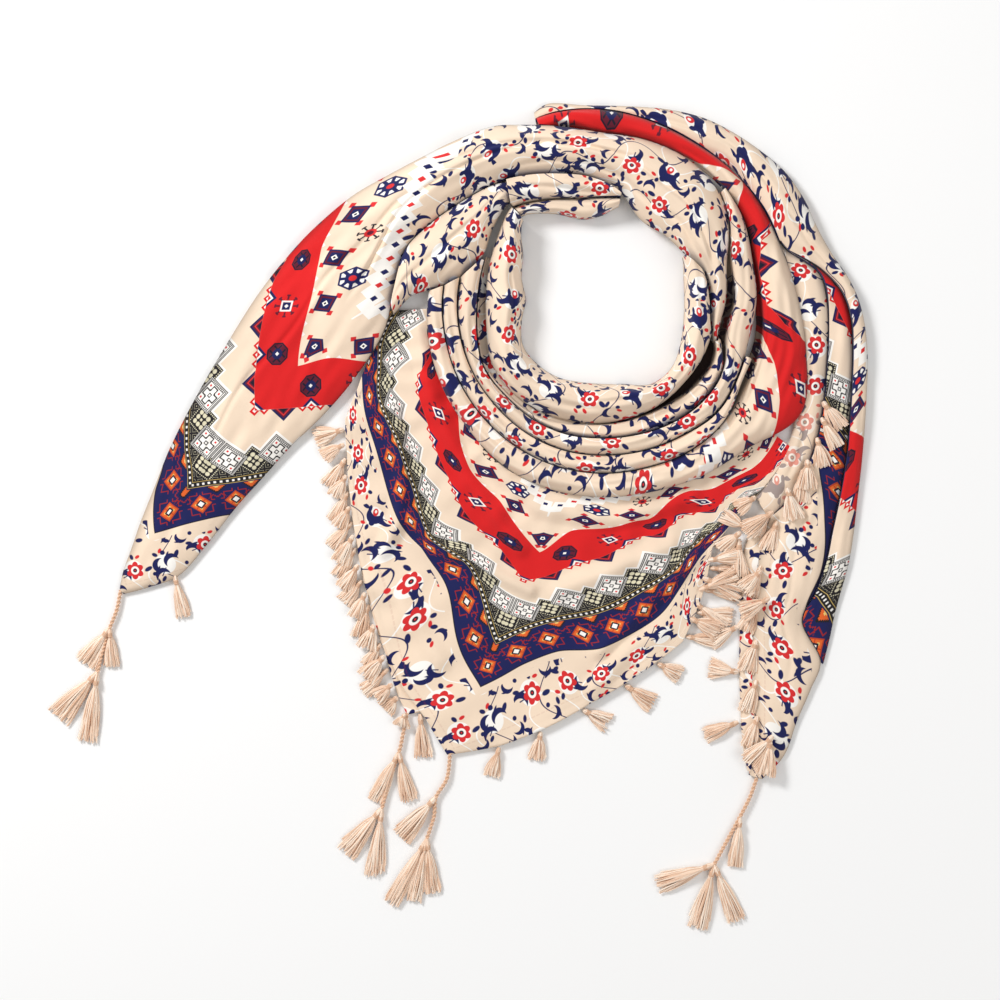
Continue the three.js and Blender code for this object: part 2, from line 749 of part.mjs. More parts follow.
const heap = [
  { name: "tail_band", ...stretch(TAIL_BAND, 2) },
  { name: "cross_fold", ...stretch(CROSS_FOLD, 1) },
  { name: "neck_fold_1", ...fold.neck_fold_1 },
  { name: "back_fold_1", ...fold.back_fold_1 },
  { name: "back_fold_2", ...fold.back_fold_2 },
  { name: "neck_fold_2", ...fold.neck_fold_2 },
  { name: "neck_fold_3", ...fold.neck_fold_3 },
  { name: "neck_fold_4", ...fold.neck_fold_4 },
  { name: "collar_band", ...fold.collar_band, look: "band" },
  { name: "inner_wrap", ...stretch(INNER_WRAP, 1, UNDERLAP) },
  { name: "right_tail", ...stretch(RIGHT_TAIL, 1, UNDERLAP) },
  { name: "outer_wrap", ...stretch(OUTER_WRAP, 1, UNDERLAP) },
  {
    name: "front_panel",
    solid: panel({
      from: 183,
      to: 322,
      cells: PANEL_CELLS,
      knee: { cell: PANEL_CELLS - 2, at: (degrees) => coverAt(degrees) + HEM_PAST },
      innerAt: (degrees) => creaseAt("five", degrees) - PANEL_UNDER,
      hem: FRONT_HEM,
      heightAt: frontHeight,
    }),
  },
  {
    name: "under_panel",
    solid: panel({
      from: 200,
      to: 304,
      cells: 1,
      innerAt: (degrees) => creaseAt("five", degrees) - PANEL_UNDER,
      hem: UNDER_HEM,
      heightAt: () => 0,
    }),
  },
  { name: "right_under", ...stretch(RIGHT_UNDER, 1) },
];

const group = new THREE.Group();
const material = (look) => new THREE.MeshStandardMaterial(LOOKS[look]);

function add(name, solid, look) {
  const mesh = new THREE.Mesh(geometryOf(solid), material(look));
  mesh.name = name;
  group.add(mesh);
}

// Cutting can leave a sliver beside a piece: only the main body of each is kept.
function largest(solid) {
  const bodies = solid.decompose();
  return bodies.reduce((best, body) => (body.volume() > best.volume() ? body : best));
}

const yarn = [
  ...FRONT_TASSELS.map((one, i) => ({ name: `front_tassel_${i + 1}`, ...frontTassel(one) })),
  ...RIGHT_TASSELS.map((one, i) => ({ name: `right_tassel_${i + 1}`, ...rightTassel(one) })),
  ...CLUSTERS.map((one) => ({ name: one.name, ...cluster(one) })),
];

heap.forEach(({ name, solid, look = "cloth" }, i) => {
  let piece = solid;
  for (const other of [...heap.slice(0, i), ...yarn]) {
    if (other.cutter) piece = piece.subtract(other.cutter);
  }
  add(name, largest(solidOf(geometryOf(piece))), look);
});
yarn.forEach(({ name, solid }) => add(name, solid, "yarn"));

export default group;
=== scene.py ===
# %% [markdown]
# # A square scarf, wound once and laid flat
# The real thing is one square of thin printed cloth, 1.1 m a side, with a narrow hem and
# yarn tassels. It is folded corner to corner, wound once round and laid on a table. The
# heap could be a cloth simulation, but a simulation would never settle into these folds.
# So each stretch that shows is built from the same listed creases and hems as the
# solid model, with many more points, soft wrinkles and a print that follows the cloth.

# %% Load the frame
import math
import bmesh
import bpy
import numpy as np
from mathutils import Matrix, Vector


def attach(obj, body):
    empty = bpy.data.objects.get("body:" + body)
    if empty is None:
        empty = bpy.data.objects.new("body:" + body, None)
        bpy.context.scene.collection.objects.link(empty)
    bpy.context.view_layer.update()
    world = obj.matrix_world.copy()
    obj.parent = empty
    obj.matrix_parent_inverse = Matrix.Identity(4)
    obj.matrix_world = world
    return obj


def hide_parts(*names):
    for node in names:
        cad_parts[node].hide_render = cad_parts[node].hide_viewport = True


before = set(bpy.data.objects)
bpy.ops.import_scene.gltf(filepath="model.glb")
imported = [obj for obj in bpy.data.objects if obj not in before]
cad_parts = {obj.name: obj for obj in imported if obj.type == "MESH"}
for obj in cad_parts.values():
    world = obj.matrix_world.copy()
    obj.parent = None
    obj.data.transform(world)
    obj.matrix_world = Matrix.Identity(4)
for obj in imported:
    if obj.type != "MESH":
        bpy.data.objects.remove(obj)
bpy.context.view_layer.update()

# %% [markdown]
# ## Sizes
# Places were read from the photograph, across and down in its pixels. One pixel is
# 0.6 mm of cloth, so a place becomes real once the middle pixel is taken away and the rest
# is scaled. Heights are in millimetres, and everything is turned into metres at the end.

# %% Sizes and places
PIXEL = 0.6  # mm of cloth in one pixel of the photograph
MIDDLE = (460.2, 510.94)  # the pixel over the part's origin
NECK = (602, 300)  # the pixel at the centre of the neck opening
CLOTH = 1.4  # mm, a panel's wall with its turned hem
GAP = 0.35  # mm of air between neighbouring pieces
MM = 0.001  # metres in a millimetre
EVERY = 15  # degrees between the entries of a crease


def place(across, down):
    """A photograph's pixel as a place in the part's frame, in mm."""
    across = np.asarray(across, float)
    down = np.asarray(down, float)
    return np.stack([(across - MIDDLE[0]) * PIXEL, (MIDDLE[1] - down) * PIXEL], axis=-1)


NECK_PLACE = place(*NECK)


def polar(degrees, distance):
    """A place at this angle and this distance in mm from the neck's centre."""
    turn = np.radians(np.asarray(degrees, float))
    arm = np.stack([np.cos(turn), np.sin(turn)], axis=-1)
    return NECK_PLACE + arm * np.asarray(distance, float)[..., None]


# %% Creases round the neck, in pixels from its centre, anticlockwise from a first angle
CREASES = {
    "rim": (135, [111, 91, 83, 76, 83, 91, 91, 89, 85, 84, 87, 97, 97, 90, 84, 82, 84, 91]),
    "one": (135, [126, 118, 114, 113, 116, 124, 126, 125, 122, 120, 118, 116, 113, 112, 110, 106, 104, 96]),
    "two": (150, [121, 120, 121, 126, 133, 133, 135, 136, 135, 136, 138, 139, 135, 118, 123, 128, 143, 160]),
    "three": (150, [136, 139, 141, 143, 145, 147, 150, 152, 152, 153, 154, 157, 152, 148, 150, 151,
                    158, 162]),
    "four": (150, [148, 153, 156, 158, 161, 164, 167, 169, 170, 170, 171, 168, 158, 157, 153, 154, 160,
                   163, 163, 163, 165, 178]),
    "five": (150, [160, 167, 171, 175, 179, 183, 190, 193, 194, 195, 199, 205, 225, 207, 192, 183, 181, 179,
                   178, 181, 186, 189]),
    "top_rim": (75, [98, 84, 83, 99, 116]),
    "top_one": (75, [100, 98, 100, 110, 123]),
    "top_two": (75, [106, 118, 131, 147, 163]),
}

# %% Folds round the neck: their creases, their run in degrees, their heights in mm
# name: inner crease, outer crease, from, to, crown, inner lip, outer lip, place of the crown
FOLDS = {
    "neck_fold_1": ("rim", "one", 135, 388, 19, 1.5, 9, 0.5),
    "neck_fold_2": ("one", "two", 160, 341, 12, 6, 7, 0.7),
    "neck_fold_3": ("two", "three", 162, 402, 16, 6, 8, 0.55),
    "neck_fold_4": ("three", "four", 162, 338, 14, 6, 7, 0.6),
    "collar_band": ("four", "five", 162, 470, 12.5, 5, 5, 0.55),
    "back_fold_1": ("top_rim", "top_one", 80, 134, 13, 1.5, 8, 0.5),
    "back_fold_2": ("top_one", "top_two", 80, 134, 17, 7, 10, 0.6),
}

# %% Long stretches: rows of left edge, right edge (pixels) and crown (mm)
TAIL_BAND = [
    (120, 588, 124, 594, 3),
    (124, 570, 150, 587, 4),
    (132, 548, 180, 575, 4.5),
    (141, 522, 207, 545, 5),
    (155, 487, 236, 508, 5.5),
    (171, 447, 263, 478, 6),
    (195, 400, 291, 447, 7),
    (228, 343, 321, 418, 8),
    (262, 290, 347, 389, 9),
    (298, 246, 370, 357, 11),
    (328, 217, 386, 327, 13),
    (356, 195, 394, 290, 15),
    (386, 178, 405, 252, 17),
    (418, 161, 427, 228, 18),
    (452, 144, 457, 206, 20),
    (490, 129, 492, 187, 21),
    (527, 127, 523, 178, 22),
    (563, 129, 556, 176, 23),
    (602, 135, 590, 179, 24),
    (644, 142, 618, 193, 24),
    (683, 159, 640, 222, 24),
    (714, 188, 665, 238, 23),
    (728, 225, 684, 256, 21),
    (726, 262, 702, 273, 19),
    (725, 300, 708, 300, 17),
    (720, 322, 709, 322, 14),
    (716, 342, 712, 342, 10),
]
CROSS_FOLD = [
    (388, 296, 394, 315, 11),
    (396, 268, 412, 297, 14),
    (405, 249, 434, 290, 17),
    (425, 229, 453, 282, 19),
    (446, 213, 468, 272, 20),
    (468, 198, 484, 255, 20),
    (486, 188, 492, 232, 19),
    (498, 184, 503, 212, 17),
    (506, 182, 510, 204, 14),
]
OUTER_WRAP = [
    (818, 661, 823, 664, 2.5),
    (804, 637, 829, 640, 3),
    (798, 618, 835, 612, 3.5),
    (806, 600, 841, 590, 4),
    (820, 575, 848, 565, 4.5),
    (826, 550, 853, 535, 5),
    (833, 515, 857, 500, 5.5),
    (840, 480, 861, 465, 6),
    (845, 445, 864, 430, 6.5),
    (849, 410, 866, 395, 7),
    (853, 370, 867, 360, 7.5),
    (853, 335, 864, 325, 8),
    (848, 304, 857, 298, 9),
    (836, 281, 846, 276, 10),
    (815, 264, 832, 256, 11.5),
    (796, 255, 818, 232, 12.5),
    (780, 241, 803, 200, 13),
    (765, 215, 783, 172, 13),
    (750, 188, 757, 150, 12.5),
    (728, 162, 728, 131, 12),
    (700, 148, 700, 118, 11),
    (665, 132, 665, 110, 9.5),
    (625, 122, 625, 107, 8),
    (585, 116, 585, 106, 7),
    (552, 117, 550, 104, 6),
    (536, 124, 534, 113, 4),
]
INNER_WRAP = [
    (757, 500, 768, 518, 3.5),
    (772, 480, 788, 500, 4),
    (786, 458, 804, 472, 4.5),
    (796, 436, 816, 442, 4.5),
    (800, 405, 823, 405, 4.5),
    (802, 370, 826, 370, 4.5),
    (800, 335, 828, 335, 4.5),
    (796, 305, 827, 302, 4.5),
    (791, 281, 821, 277, 4.5),
    (786, 267, 807, 264, 4.5),
    (780, 255, 788, 252, 4.5),
    (774, 244, 779, 242, 4),
]
RIGHT_TAIL = [
    (753, 776, 762, 779, 3),
    (757, 755, 784, 755, 3.5),
    (758, 720, 797, 720, 4),
    (757, 690, 810, 690, 4.5),
    (757, 655, 820, 660, 4.5),
    (758, 620, 802, 622, 4.5),
    (760, 590, 815, 592, 4.5),
    (763, 560, 826, 560, 4.5),
    (772, 525, 832, 530, 4.5),
    (784, 492, 840, 492, 4.5),
    (798, 460, 846, 455, 4.5),
    (812, 425, 849, 420, 4.5),
    (823, 390, 851, 385, 4.5),
    (826, 350, 852, 350, 4.5),
    (826, 315, 850, 318, 4.5),
    (817, 288, 840, 291, 7.5),
    (802, 267, 820, 270, 7.875),
    (787, 251, 797, 256, 4.5),
]
RIGHT_UNDER = [
    (747, 770, 757, 776, 1.8),
    (742, 740, 768, 740, 2),
    (740, 700, 768, 700, 2),
    (739, 660, 768, 660, 2),
    (740, 620, 770, 620, 2),
    (741, 580, 772, 580, 2),
    (744, 550, 776, 550, 2),
    (752, 528, 784, 525, 1.8),
]

# %% Hems of the two front corners: angle from the neck's centre and distance in pixels
FRONT_HEM = [
    (181, 212), (192, 232), (200, 260), (205, 283), (211.3, 298), (218.5, 321), (225.1, 346),
    (232, 377), (238.3, 411), (243.1, 437), (247.2, 454), (251.2, 480), (257.1, 457), (262.8, 430),
    (268.6, 402), (275.8, 375), (283.2, 351), (288.7, 312), (293.9, 271), (302.7, 252),
    (312.4, 246), (324, 238),
]
UNDER_HEM = [
    (198, 250), (205, 281), (211.3, 296), (218.5, 320), (225.1, 347), (232, 379), (238.3, 413),
    (242, 440), (244.8, 458), (248, 440), (257.1, 430), (268.6, 385), (283.2, 335), (293.9, 262),
    (305, 238),
]

# %% Soft ridges of the front corner: height, half width (mm), then the line's pixels
RIDGES = [
    (4.2, 8, [(392, 410), (404, 475), (398, 520), (384, 550)]),
    (3.2, 8, [(418, 330), (432, 400), (470, 480), (520, 548)]),
    (3.4, 7, [(408, 515), (440, 548), (480, 566), (530, 590)]),
    (3.6, 9, [(480, 455), (540, 508), (610, 520), (690, 500)]),
    (3.8, 8, [(600, 650), (645, 606), (690, 562)]),
    (3.0, 9, [(560, 590), (610, 570), (670, 545)]),
    (2.4, 10, [(365, 585), (400, 600), (440, 660)]),
    (2.6, 9, [(590, 690), (630, 650), (660, 630)]),
]

# %% Hem tassels: root and end, in pixels
FRONT_TASSELS = [
    (347, 428, 318, 437),
    (347, 458, 330, 484),
    (350, 490, 336, 518),
    (354, 520, 334, 545),
    (358, 546, 340, 574),
    (366, 576, 346, 600),
    (372, 600, 360, 634),
    (384, 638, 368, 664),
    (392, 662, 366, 690),
    (402, 688, 386, 708),
    (421, 712, 424, 752),
    (500, 744, 492, 773),
    (541, 729, 537, 757),
    (583, 706, 606, 722),
    (625, 681, 650, 702),
    (657, 660, 678, 674),
    (686, 636, 714, 640),
    (697, 612, 728, 616),
    (704, 588, 734, 592),
    (708, 564, 736, 570),
    (714, 543, 738, 548),
]

# These lie on other cloth, so they have a lift (mm) too
RIGHT_TASSELS = [
    (738, 672, 712, 668, 0),
    (738, 722, 708, 734, 0),
    (761, 566, 748, 592, 2),
    (758, 602, 746, 628, 2),
    (756, 640, 747, 668, 2),
    (756, 680, 747, 708, 2),
    (757, 716, 749, 744, 2),
    (822, 402, 838, 426, 3.6),
    (816, 438, 822, 464, 3.6),
    (802, 470, 800, 500, 3.6),
    (755, 497, 738, 508, 2.8),
    (768, 516, 757, 532, 1),
    (776, 521, 768, 548, 2.6),
]

# Tassels that only this model has, as they overlap those of the solid one
MORE_TASSELS = [
    (746, 528, 724, 516, 3),
    (772, 512, 746, 530, 5),
    (738, 540, 739, 576, 2),
    (708, 560, 738, 556, 3),
    (702, 578, 737, 592, 3),
    (699, 590, 731, 576, 4),
    (694, 602, 722, 624, 0.5),
    (690, 618, 716, 630, 2),
    (738, 626, 713, 640, 0),
    (740, 532, 722, 548, 3),
    (768, 598, 743, 611, 6),
    (772, 735, 750, 760, 5),
    (769, 738, 765, 771, 5),
    (786, 488, 793, 516, 6),
    (806, 460, 806, 486, 6.5),
    (820, 418, 834, 444, 6),
    (760, 570, 744, 588, 5),
]
FRINGE_ROWS = 11  # the first front tassels, which have one more between each two

# %% Corner clusters: the cord's pixels, then each tassel's root, end (pixels) and width (mm)
CLUSTERS = {
    "corner_tassel_left": (
        [(121, 590), (117, 610), (110, 628), (103, 650), (98, 672)],
        [
            (110, 628, 88, 660, 12),
            (110, 628, 112, 662, 8),
            (98, 672, 63, 712, 14),
            (98, 672, 89, 733, 11),
            (175, 575, 183, 612, 8),  # the one on the hem beside the tip
        ],
    ),
    "corner_tassel_under": (
        [(407, 713), (403, 734), (399, 752), (390, 778), (382, 808)],
        [
            (399, 752, 378, 795, 9),
            (399, 752, 408, 795, 9),
            (382, 808, 350, 848, 12),
            (382, 808, 375, 868, 10),
        ],
    ),
    "corner_tassel_front": (
        [(450, 753), (447, 778), (436, 797), (434, 816), (427, 838)],
        [
            (436, 797, 405, 832, 12),
            (427, 838, 396, 896, 9),
            (427, 838, 415, 893, 8),
            (427, 838, 432, 886, 9),
        ],
    ),
    "corner_tassel_right": (
        [(757, 776), (750, 796), (740, 816), (727, 840), (714, 864)],
        [
            (740, 816, 736, 860, 8),
            (714, 864, 664, 882, 11),
            (714, 864, 699, 920, 11),
            (714, 864, 734, 914, 10),
        ],
    ),
}

# %% [markdown]
# ## Smooth values between the rows
# A maker reads a few sizes and lets a curve run through them. A Catmull-Rom cubic does that:
# it passes through every row and needs no handles, so the tables stay short.

# %% Curves through the tables
def cubic(p, q, r, s, t):
    """A smooth value from q to r as t runs from 0 to 1."""
    bend = 2 * p - 5 * q + 4 * r - s
    twist = 3 * q - p - 3 * r + s
    return q + 0.5 * t * (r - p + t * (bend + t * twist))


def along_rows(values, where):
    """Rows of values, read at places that are row numbers with a fraction."""
    values = np.asarray(values, float)
    last = len(values) - 1
    i = np.clip(np.floor(where).astype(int), 0, last - 1)
    t = np.clip(where - i, 0, 1)
    if values.ndim > 1:
        t = t[:, None]
    near = [values[np.clip(i + k, 0, last)] for k in (-1, 0, 1, 2)]
    return cubic(*near, t)


def run_length(points):
    """Length along a line of places, from 0 at its start."""
    return np.concatenate([[0], np.cumsum(np.linalg.norm(np.diff(points, axis=0), axis=-1))])


def crease(name, degrees):
    """How far a crease lies from the neck's centre, in mm."""
    first, distances = CREASES[name]
    return PIXEL * along_rows(distances, (np.asarray(degrees, float) - first) / EVERY)


def hem(table, degrees):
    """How far a hem lies from the neck's centre, in mm."""
    angles, distances = np.array(table).T
    return PIXEL * np.interp(degrees, angles, distances)


def smooth(value, low, high):
    """0 below low, 1 above high, and an even S between."""
    t = np.clip((value - low) / (high - low), 0, 1)
    return t * t * (3 - 2 * t)


print("the neck opening is", round(crease("rim", 180.0) + crease("rim", 360.0)), "mm wide")

# %% [markdown]
# ## Wrinkles
# Thin cloth never lies smooth between its folds. Blender's noise could displace it, but long
# wrinkles that run with the cloth look truer. A few waves added together, short across the
# cloth and long along it, give those, and a fixed seed gives the same ones every time.

# %% Long soft wrinkles
def wrinkles(across, along, seed, short=9.0, long=70.0, waves=14):
    """Waves in mm-sized cloth coordinates, about -1 to 1 high."""
    rng = np.random.default_rng(seed)
    total = np.zeros(np.broadcast(across, along).shape)
    for _ in range(waves):
        lap = 2 * math.pi / (short * rng.uniform(0.6, 1.9))
        drift = 2 * math.pi / (long * rng.uniform(0.5, 1.6)) * rng.choice((-1, 1))
        total += np.sin(across * lap + along * drift + rng.uniform(0, 2 * math.pi))
    return total / math.sqrt(waves)


# %% [markdown]
# ## The flat cloth under every fold
# Each piece carries a UV map called flat. It holds the place on the unfolded square, in
# metres from the two hems that meet at the nearest corner, so one print fits every piece.
# Where the photograph shows the border, marks were read: a pixel, and how far in
# from the left and the right hem the print is there. A thin-plate spline, the bend of a
# metal sheet pinned at those marks, gives every point between them.

# %% Marks on the print: across, down (pixels), from the left hem, from the right hem (mm)
FRONT_MARKS = [
    (450, 756, 0, 0), (426, 718, 0, 27), (405, 690, 0, 48), (390, 650, 0, 74), (372, 590, 0, 111),
    (358, 545, 0, 139), (350, 500, 0, 167), (346, 450, 0, 197), (345, 385, 0, 236),
    (481, 686, 31, 31), (423, 546, 31, 122), (497, 641, 56, 56), (468, 562, 56, 106),
    (430, 540, 56, 132), (415, 490, 56, 163), (398, 440, 56, 195), (378, 395, 56, 225),
    (380, 345, 56, 255), (390, 320, 56, 271), (403, 300, 56, 285), (523, 580, 96, 96),
    (480, 530, 96, 136), (450, 480, 96, 171), (432, 440, 96, 197), (420, 400, 96, 222),
    (430, 360, 96, 247), (540, 553, 122, 122), (520, 530, 122, 140), (500, 500, 122, 162),
    (470, 470, 122, 187), (460, 440, 122, 206), (458, 410, 122, 224), (440, 370, 122, 250),
    (470, 750, 12.5, 0), (500, 738, 32, 0), (540, 722, 58, 0), (590, 698, 91, 0),
    (620, 680, 112, 0), (660, 655, 140, 0), (688, 632, 162, 0), (703, 575, 198, 0),
    (735, 520, 237, 0), (520, 665, 58, 31), (560, 650, 84, 31), (600, 648, 108, 31),
    (520, 630, 71, 56), (560, 618, 96, 56), (600, 610, 121, 56), (640, 590, 148, 56),
    (680, 565, 176, 56), (730, 520, 216, 56), (560, 570, 119, 96), (600, 558, 144, 96),
    (640, 535, 172, 96), (680, 515, 199, 96), (720, 505, 224, 96), (760, 480, 252, 96),
    (790, 450, 277, 96), (570, 530, 144, 122), (620, 526, 174, 122), (650, 520, 192, 122),
    (690, 490, 222, 122), (780, 430, 284, 122), (549, 512, 152, 152),
]
TAIL_MARKS = [
    (122, 592, 0, 0), (178, 577, 35, 0), (156, 533, 31, 31), (156, 490, 31, 57),
    (165, 462, 31, 74), (190, 523, 52, 31), (225, 515, 74, 31), (191, 486, 56, 56),
    (187, 450, 56, 78), (188, 410, 56, 102), (230, 481, 79, 56), (265, 475, 101, 56),
    (232, 438, 84, 84), (256, 411, 96, 96), (262, 330, 96, 145), (275, 280, 96, 176),
    (290, 255, 96, 193), (330, 405, 141, 96), (299, 367, 122, 122), (310, 310, 122, 157),
    (322, 250, 122, 194), (343, 210, 122, 221), (330, 358, 141, 122), (365, 362, 162, 122),
    (370, 300, 152, 160), (390, 250, 152, 190), (400, 220, 152, 208), (415, 190, 152, 228),
    (425, 165, 152, 244), (440, 155, 152, 254),
]


# %% The spline through the marks
def kernel(from_points, to_points):
    gap = np.linalg.norm(from_points[:, None] - to_points[None], axis=-1)
    return gap**2 * np.log(gap + 1e-9)


def spline(marks, slack=0.4):
    """A function from places in mm to the flat cloth in mm, pinned at the marks."""
    marks = np.array(marks, float)
    pins = place(marks[:, 0], marks[:, 1])
    scale = 100.0
    count = len(pins)
    level = np.hstack([np.ones((count, 1)), pins / scale])
    bend = kernel(pins / scale, pins / scale) + slack * 0.01 * np.eye(count)
    left = np.block([[bend, level], [level.T, np.zeros((3, 3))]])
    right = np.vstack([marks[:, 2:], np.zeros((3, 2))])
    weights = np.linalg.solve(left, right)

    def flat(points):
        shape = points.shape[:-1]
        points = points.reshape(-1, 2) / scale
        plain = np.hstack([np.ones((len(points), 1)), points])
        found = kernel(points, pins / scale) @ weights[:count] + plain @ weights[count:]
        return found.reshape(*shape, 2)

    return flat


front_flat = spline(FRONT_MARKS)
tail_flat = spline(TAIL_MARKS)
BORDER_CORNER = (523, 580)  # the pixel at the corner of the front's red border
print("the red border's corner is", front_flat(place(*BORDER_CORNER)).round(1), "mm from the hems")

# %% [markdown]
# ## From sections to a closed piece
# A fold is a row of closed sections, like the ribs of a boat. Loft or skin modifiers exist,
# but a few lines of numpy give full control of every vertex, and keep the flat place of each
# one. Each section starts at the floor under its inner edge, climbs over the crown and comes
# back underneath.

# %% A skin over closed sections
CELL = 1.15  # mm, the size of one cell of the cloth
pieces = {}


def add(name, data):
    """A new object in the scene."""
    made = bpy.data.objects.new(name, data)
    bpy.context.scene.collection.objects.link(made)
    return made


def skin(name, rings, flat, reverse, painted_shade):
    """rings: sections x points x 3 in mm; flat: the same x 2 in mm; then two marks for each point."""
    rows, count, _ = rings.shape
    index = np.arange(rows * count).reshape(rows, count)
    following = np.roll(index, -1, axis=1)
    quads = np.stack([index[:-1], following[:-1], following[1:], index[1:]], axis=-1)
    faces = [tuple(quad) for quad in quads.reshape(-1, 4).tolist()]
    faces += [tuple(index[0][::-1].tolist()), tuple(index[-1].tolist())]
    mesh = bpy.data.meshes.new(name)
    mesh.from_pydata((rings.reshape(-1, 3) * MM).tolist(), [], faces)
    corner = np.zeros(len(mesh.loops), int)
    mesh.loops.foreach_get("vertex_index", corner)
    layer = mesh.uv_layers.new(name="flat")
    layer.data.foreach_set("uv", (flat.reshape(-1, 2)[corner] * MM).ravel())
    # The underside's marks, then how much painted shade each point gets.
    for title, marks in (("reverse", reverse), ("painted_shade", painted_shade)):
        layer = mesh.attributes.new(title, "FLOAT", "POINT")
        marks = np.broadcast_to(marks, (rows, count))
        layer.data.foreach_set("value", marks.ravel().astype(np.float32))
    bm = bmesh.new()
    bm.from_mesh(mesh)
    bmesh.ops.triangulate(bm, faces=[face for face in bm.faces if len(face.verts) > 4])
    if bm.calc_volume(signed=True) < 0:
        bmesh.ops.reverse_faces(bm, faces=bm.faces)
    for face in bm.faces:
        face.smooth = True
    bm.to_mesh(mesh)
    bm.free()
    return add(f"cloth_{name}", mesh)


# %% A fold's section
FOOT, FOOT_SHARE = 1.2, 0.2  # mm, and share of the width, that the foot pulls in at most
TUCK = 2.0  # mm that a fold's outer lip leans over the next one
ROUND = 2.4  # how round a crown is: 1 is a roof, 2 a parabola
FADE_IN, FADE_OUT = 0.12, 0.86  # shares of the width between which wrinkles have their full height


def section(a, b, heights, lean, count, extra):
    """Closed sections from edge a to edge b. heights: crown, inner lip, outer lip, peak."""
    crown, inner, outer, peak = [np.asarray(one, float)[:, None] for one in heights]
    width = np.linalg.norm(b - a, axis=-1, keepdims=True)
    across = (b - a) / width
    u = np.linspace(0, 1, count)[None]
    side = np.where(u < peak, u / peak, (1 - u) / (1 - peak))
    lip = inner + (outer - inner) * u
    high = lip + (crown - lip) * (1 - (1 - side) ** ROUND)
    reach = u * (width + lean)
    fade = smooth(u, 0, FADE_IN) * (1 - smooth(u, FADE_OUT, 1))
    arc = np.concatenate(
        [np.zeros((len(a), 1)), np.cumsum(np.hypot(np.diff(reach), np.diff(high)), axis=1)], axis=1
    )
    high = high + extra(u, arc) * fade
    return across, width, reach, high, arc


INNER_STEPS, OUTER_STEPS, UNDER_STEPS = 3, 4, 6  # points on each wall and underneath
TOP_START, TOP_END = INNER_STEPS, -(OUTER_STEPS + UNDER_STEPS) - 1  # the crown's ends in a ring


def foot_in(width):
    """How far the foot pulls in, in mm."""
    return np.minimum(FOOT, width * FOOT_SHARE)


def close_section(a, across, width, reach, high):
    """Adds the walls and the foot, and marks what lies underneath."""
    foot = foot_in(width)
    steps = np.linspace(0, 1, INNER_STEPS + 1)[None, :-1]
    inner_reach = foot * (1 - steps)
    inner_high = high[:, :1] * steps
    outwards = np.linspace(0, 1, OUTER_STEPS + 1)[None, 1:]
    outer_reach = reach[:, -1:] + (width - foot - reach[:, -1:]) * outwards
    outer_high = high[:, -1:] * (1 - outwards)
    under = np.linspace(0, 1, UNDER_STEPS + 2)[None, 1:-1]
    under_reach = (width - foot) * (1 - under) + foot * under
    far = np.concatenate([inner_reach, reach, outer_reach, under_reach], axis=1)
    up = np.concatenate([inner_high, high, outer_high, 0 * under_reach], axis=1)
    plan = a[:, None] + across[:, None] * far[..., None]
    rings = np.concatenate([plan, up[..., None]], axis=-1)
    marks = np.zeros_like(far)
    marks[:, -(under.shape[1] + 1):] = 1
    return rings, marks


def ring_arc(rings):
    """Cloth length round each section, in mm from its start."""
    steps = np.linalg.norm(np.diff(rings, axis=1), axis=-1)
    return np.concatenate([np.zeros((len(rings), 1)), np.cumsum(steps, axis=1)], axis=1)


def strip_flat(rings, along, start, inset):
    """The flat cloth of a stretch that starts this far along and in from the hems, in mm."""
    arc = ring_arc(rings)
    return np.stack([np.broadcast_to(along[:, None] + start, arc.shape), arc + inset], axis=-1)


def crown_share(arc):
    """0 where a section's crown starts and 1 where it ends."""
    first, last = arc[:, TOP_START, None], arc[:, TOP_END, None]
    return (arc - first) / (last - first)


# Painted shade along the creases: the colour darkens towards each one.
CREASE_SHADE, CREASE_WIDE = 0.5, 2.4  # share of shade at a crease, and mm to fade by


def edge_shade(rings):
    """How much painted shade a stretch gets close to its creases, from the cloth's own length to them."""
    arc = ring_arc(rings)
    inner = np.maximum(arc - arc[:, TOP_START, None], 0)
    outer = np.maximum(arc[:, TOP_END, None] - arc, 0)
    return CREASE_SHADE * np.exp(-np.minimum(inner, outer) / CREASE_WIDE)


# %% [markdown]
# ## Cutting lower folds clear of upper ones
# Cloth that lies on cloth presses it away. A collision simulation would do that slowly. The
# solid model cuts each lower fold by the folds above it, a hair wider, and so does this: the
# Boolean modifier with the Manifold solver is fast and keeps the UV map.

# %% Cutters
LOW, HIGH = -5.0, 60.0  # mm, a cutter's bottom and top
cutters = []


def raised(points, height):
    """Places in the plane, all lifted to one height."""
    return np.concatenate([points, np.full((len(points), 1), height)], axis=-1)


def cutter_skin(name, corners):
    """A closed cutter from rows of corners in mm, one row for each edge that runs along it."""
    outlines = np.stack(corners, axis=1)
    return skin(f"cutter_{name}", outlines, np.zeros((*outlines.shape[:2], 2)), 0.0, 0.0)


def prism(name, a, b):
    """An upright cutter between two edges."""
    across = (b - a) / np.linalg.norm(b - a, axis=-1, keepdims=True)
    p, q = a - across * GAP, b + across * GAP
    return cutter_skin(name, [raised(p, LOW), raised(q, LOW), raised(q, HIGH), raised(p, HIGH)])


def leaning_cutter(name, a, b, inner, outer):
    """A fold's own cutter follows its leaning side, so that the next fold tucks in under it."""
    width = np.linalg.norm(b - a, axis=-1)
    across = (b - a) / width[:, None]
    foot = foot_in(width)
    rise = [
        (foot - GAP, LOW), (width - foot + GAP, LOW), (width - foot + GAP, 0),
        (width + TUCK + GAP, outer - GAP), (width + TUCK + GAP, HIGH),
        (-GAP + 0 * width, HIGH), (-GAP + 0 * width, inner), (foot - GAP, 0),
    ]
    return cutter_skin(name, [raised(a + across * far[:, None], up) for far, up in rise])


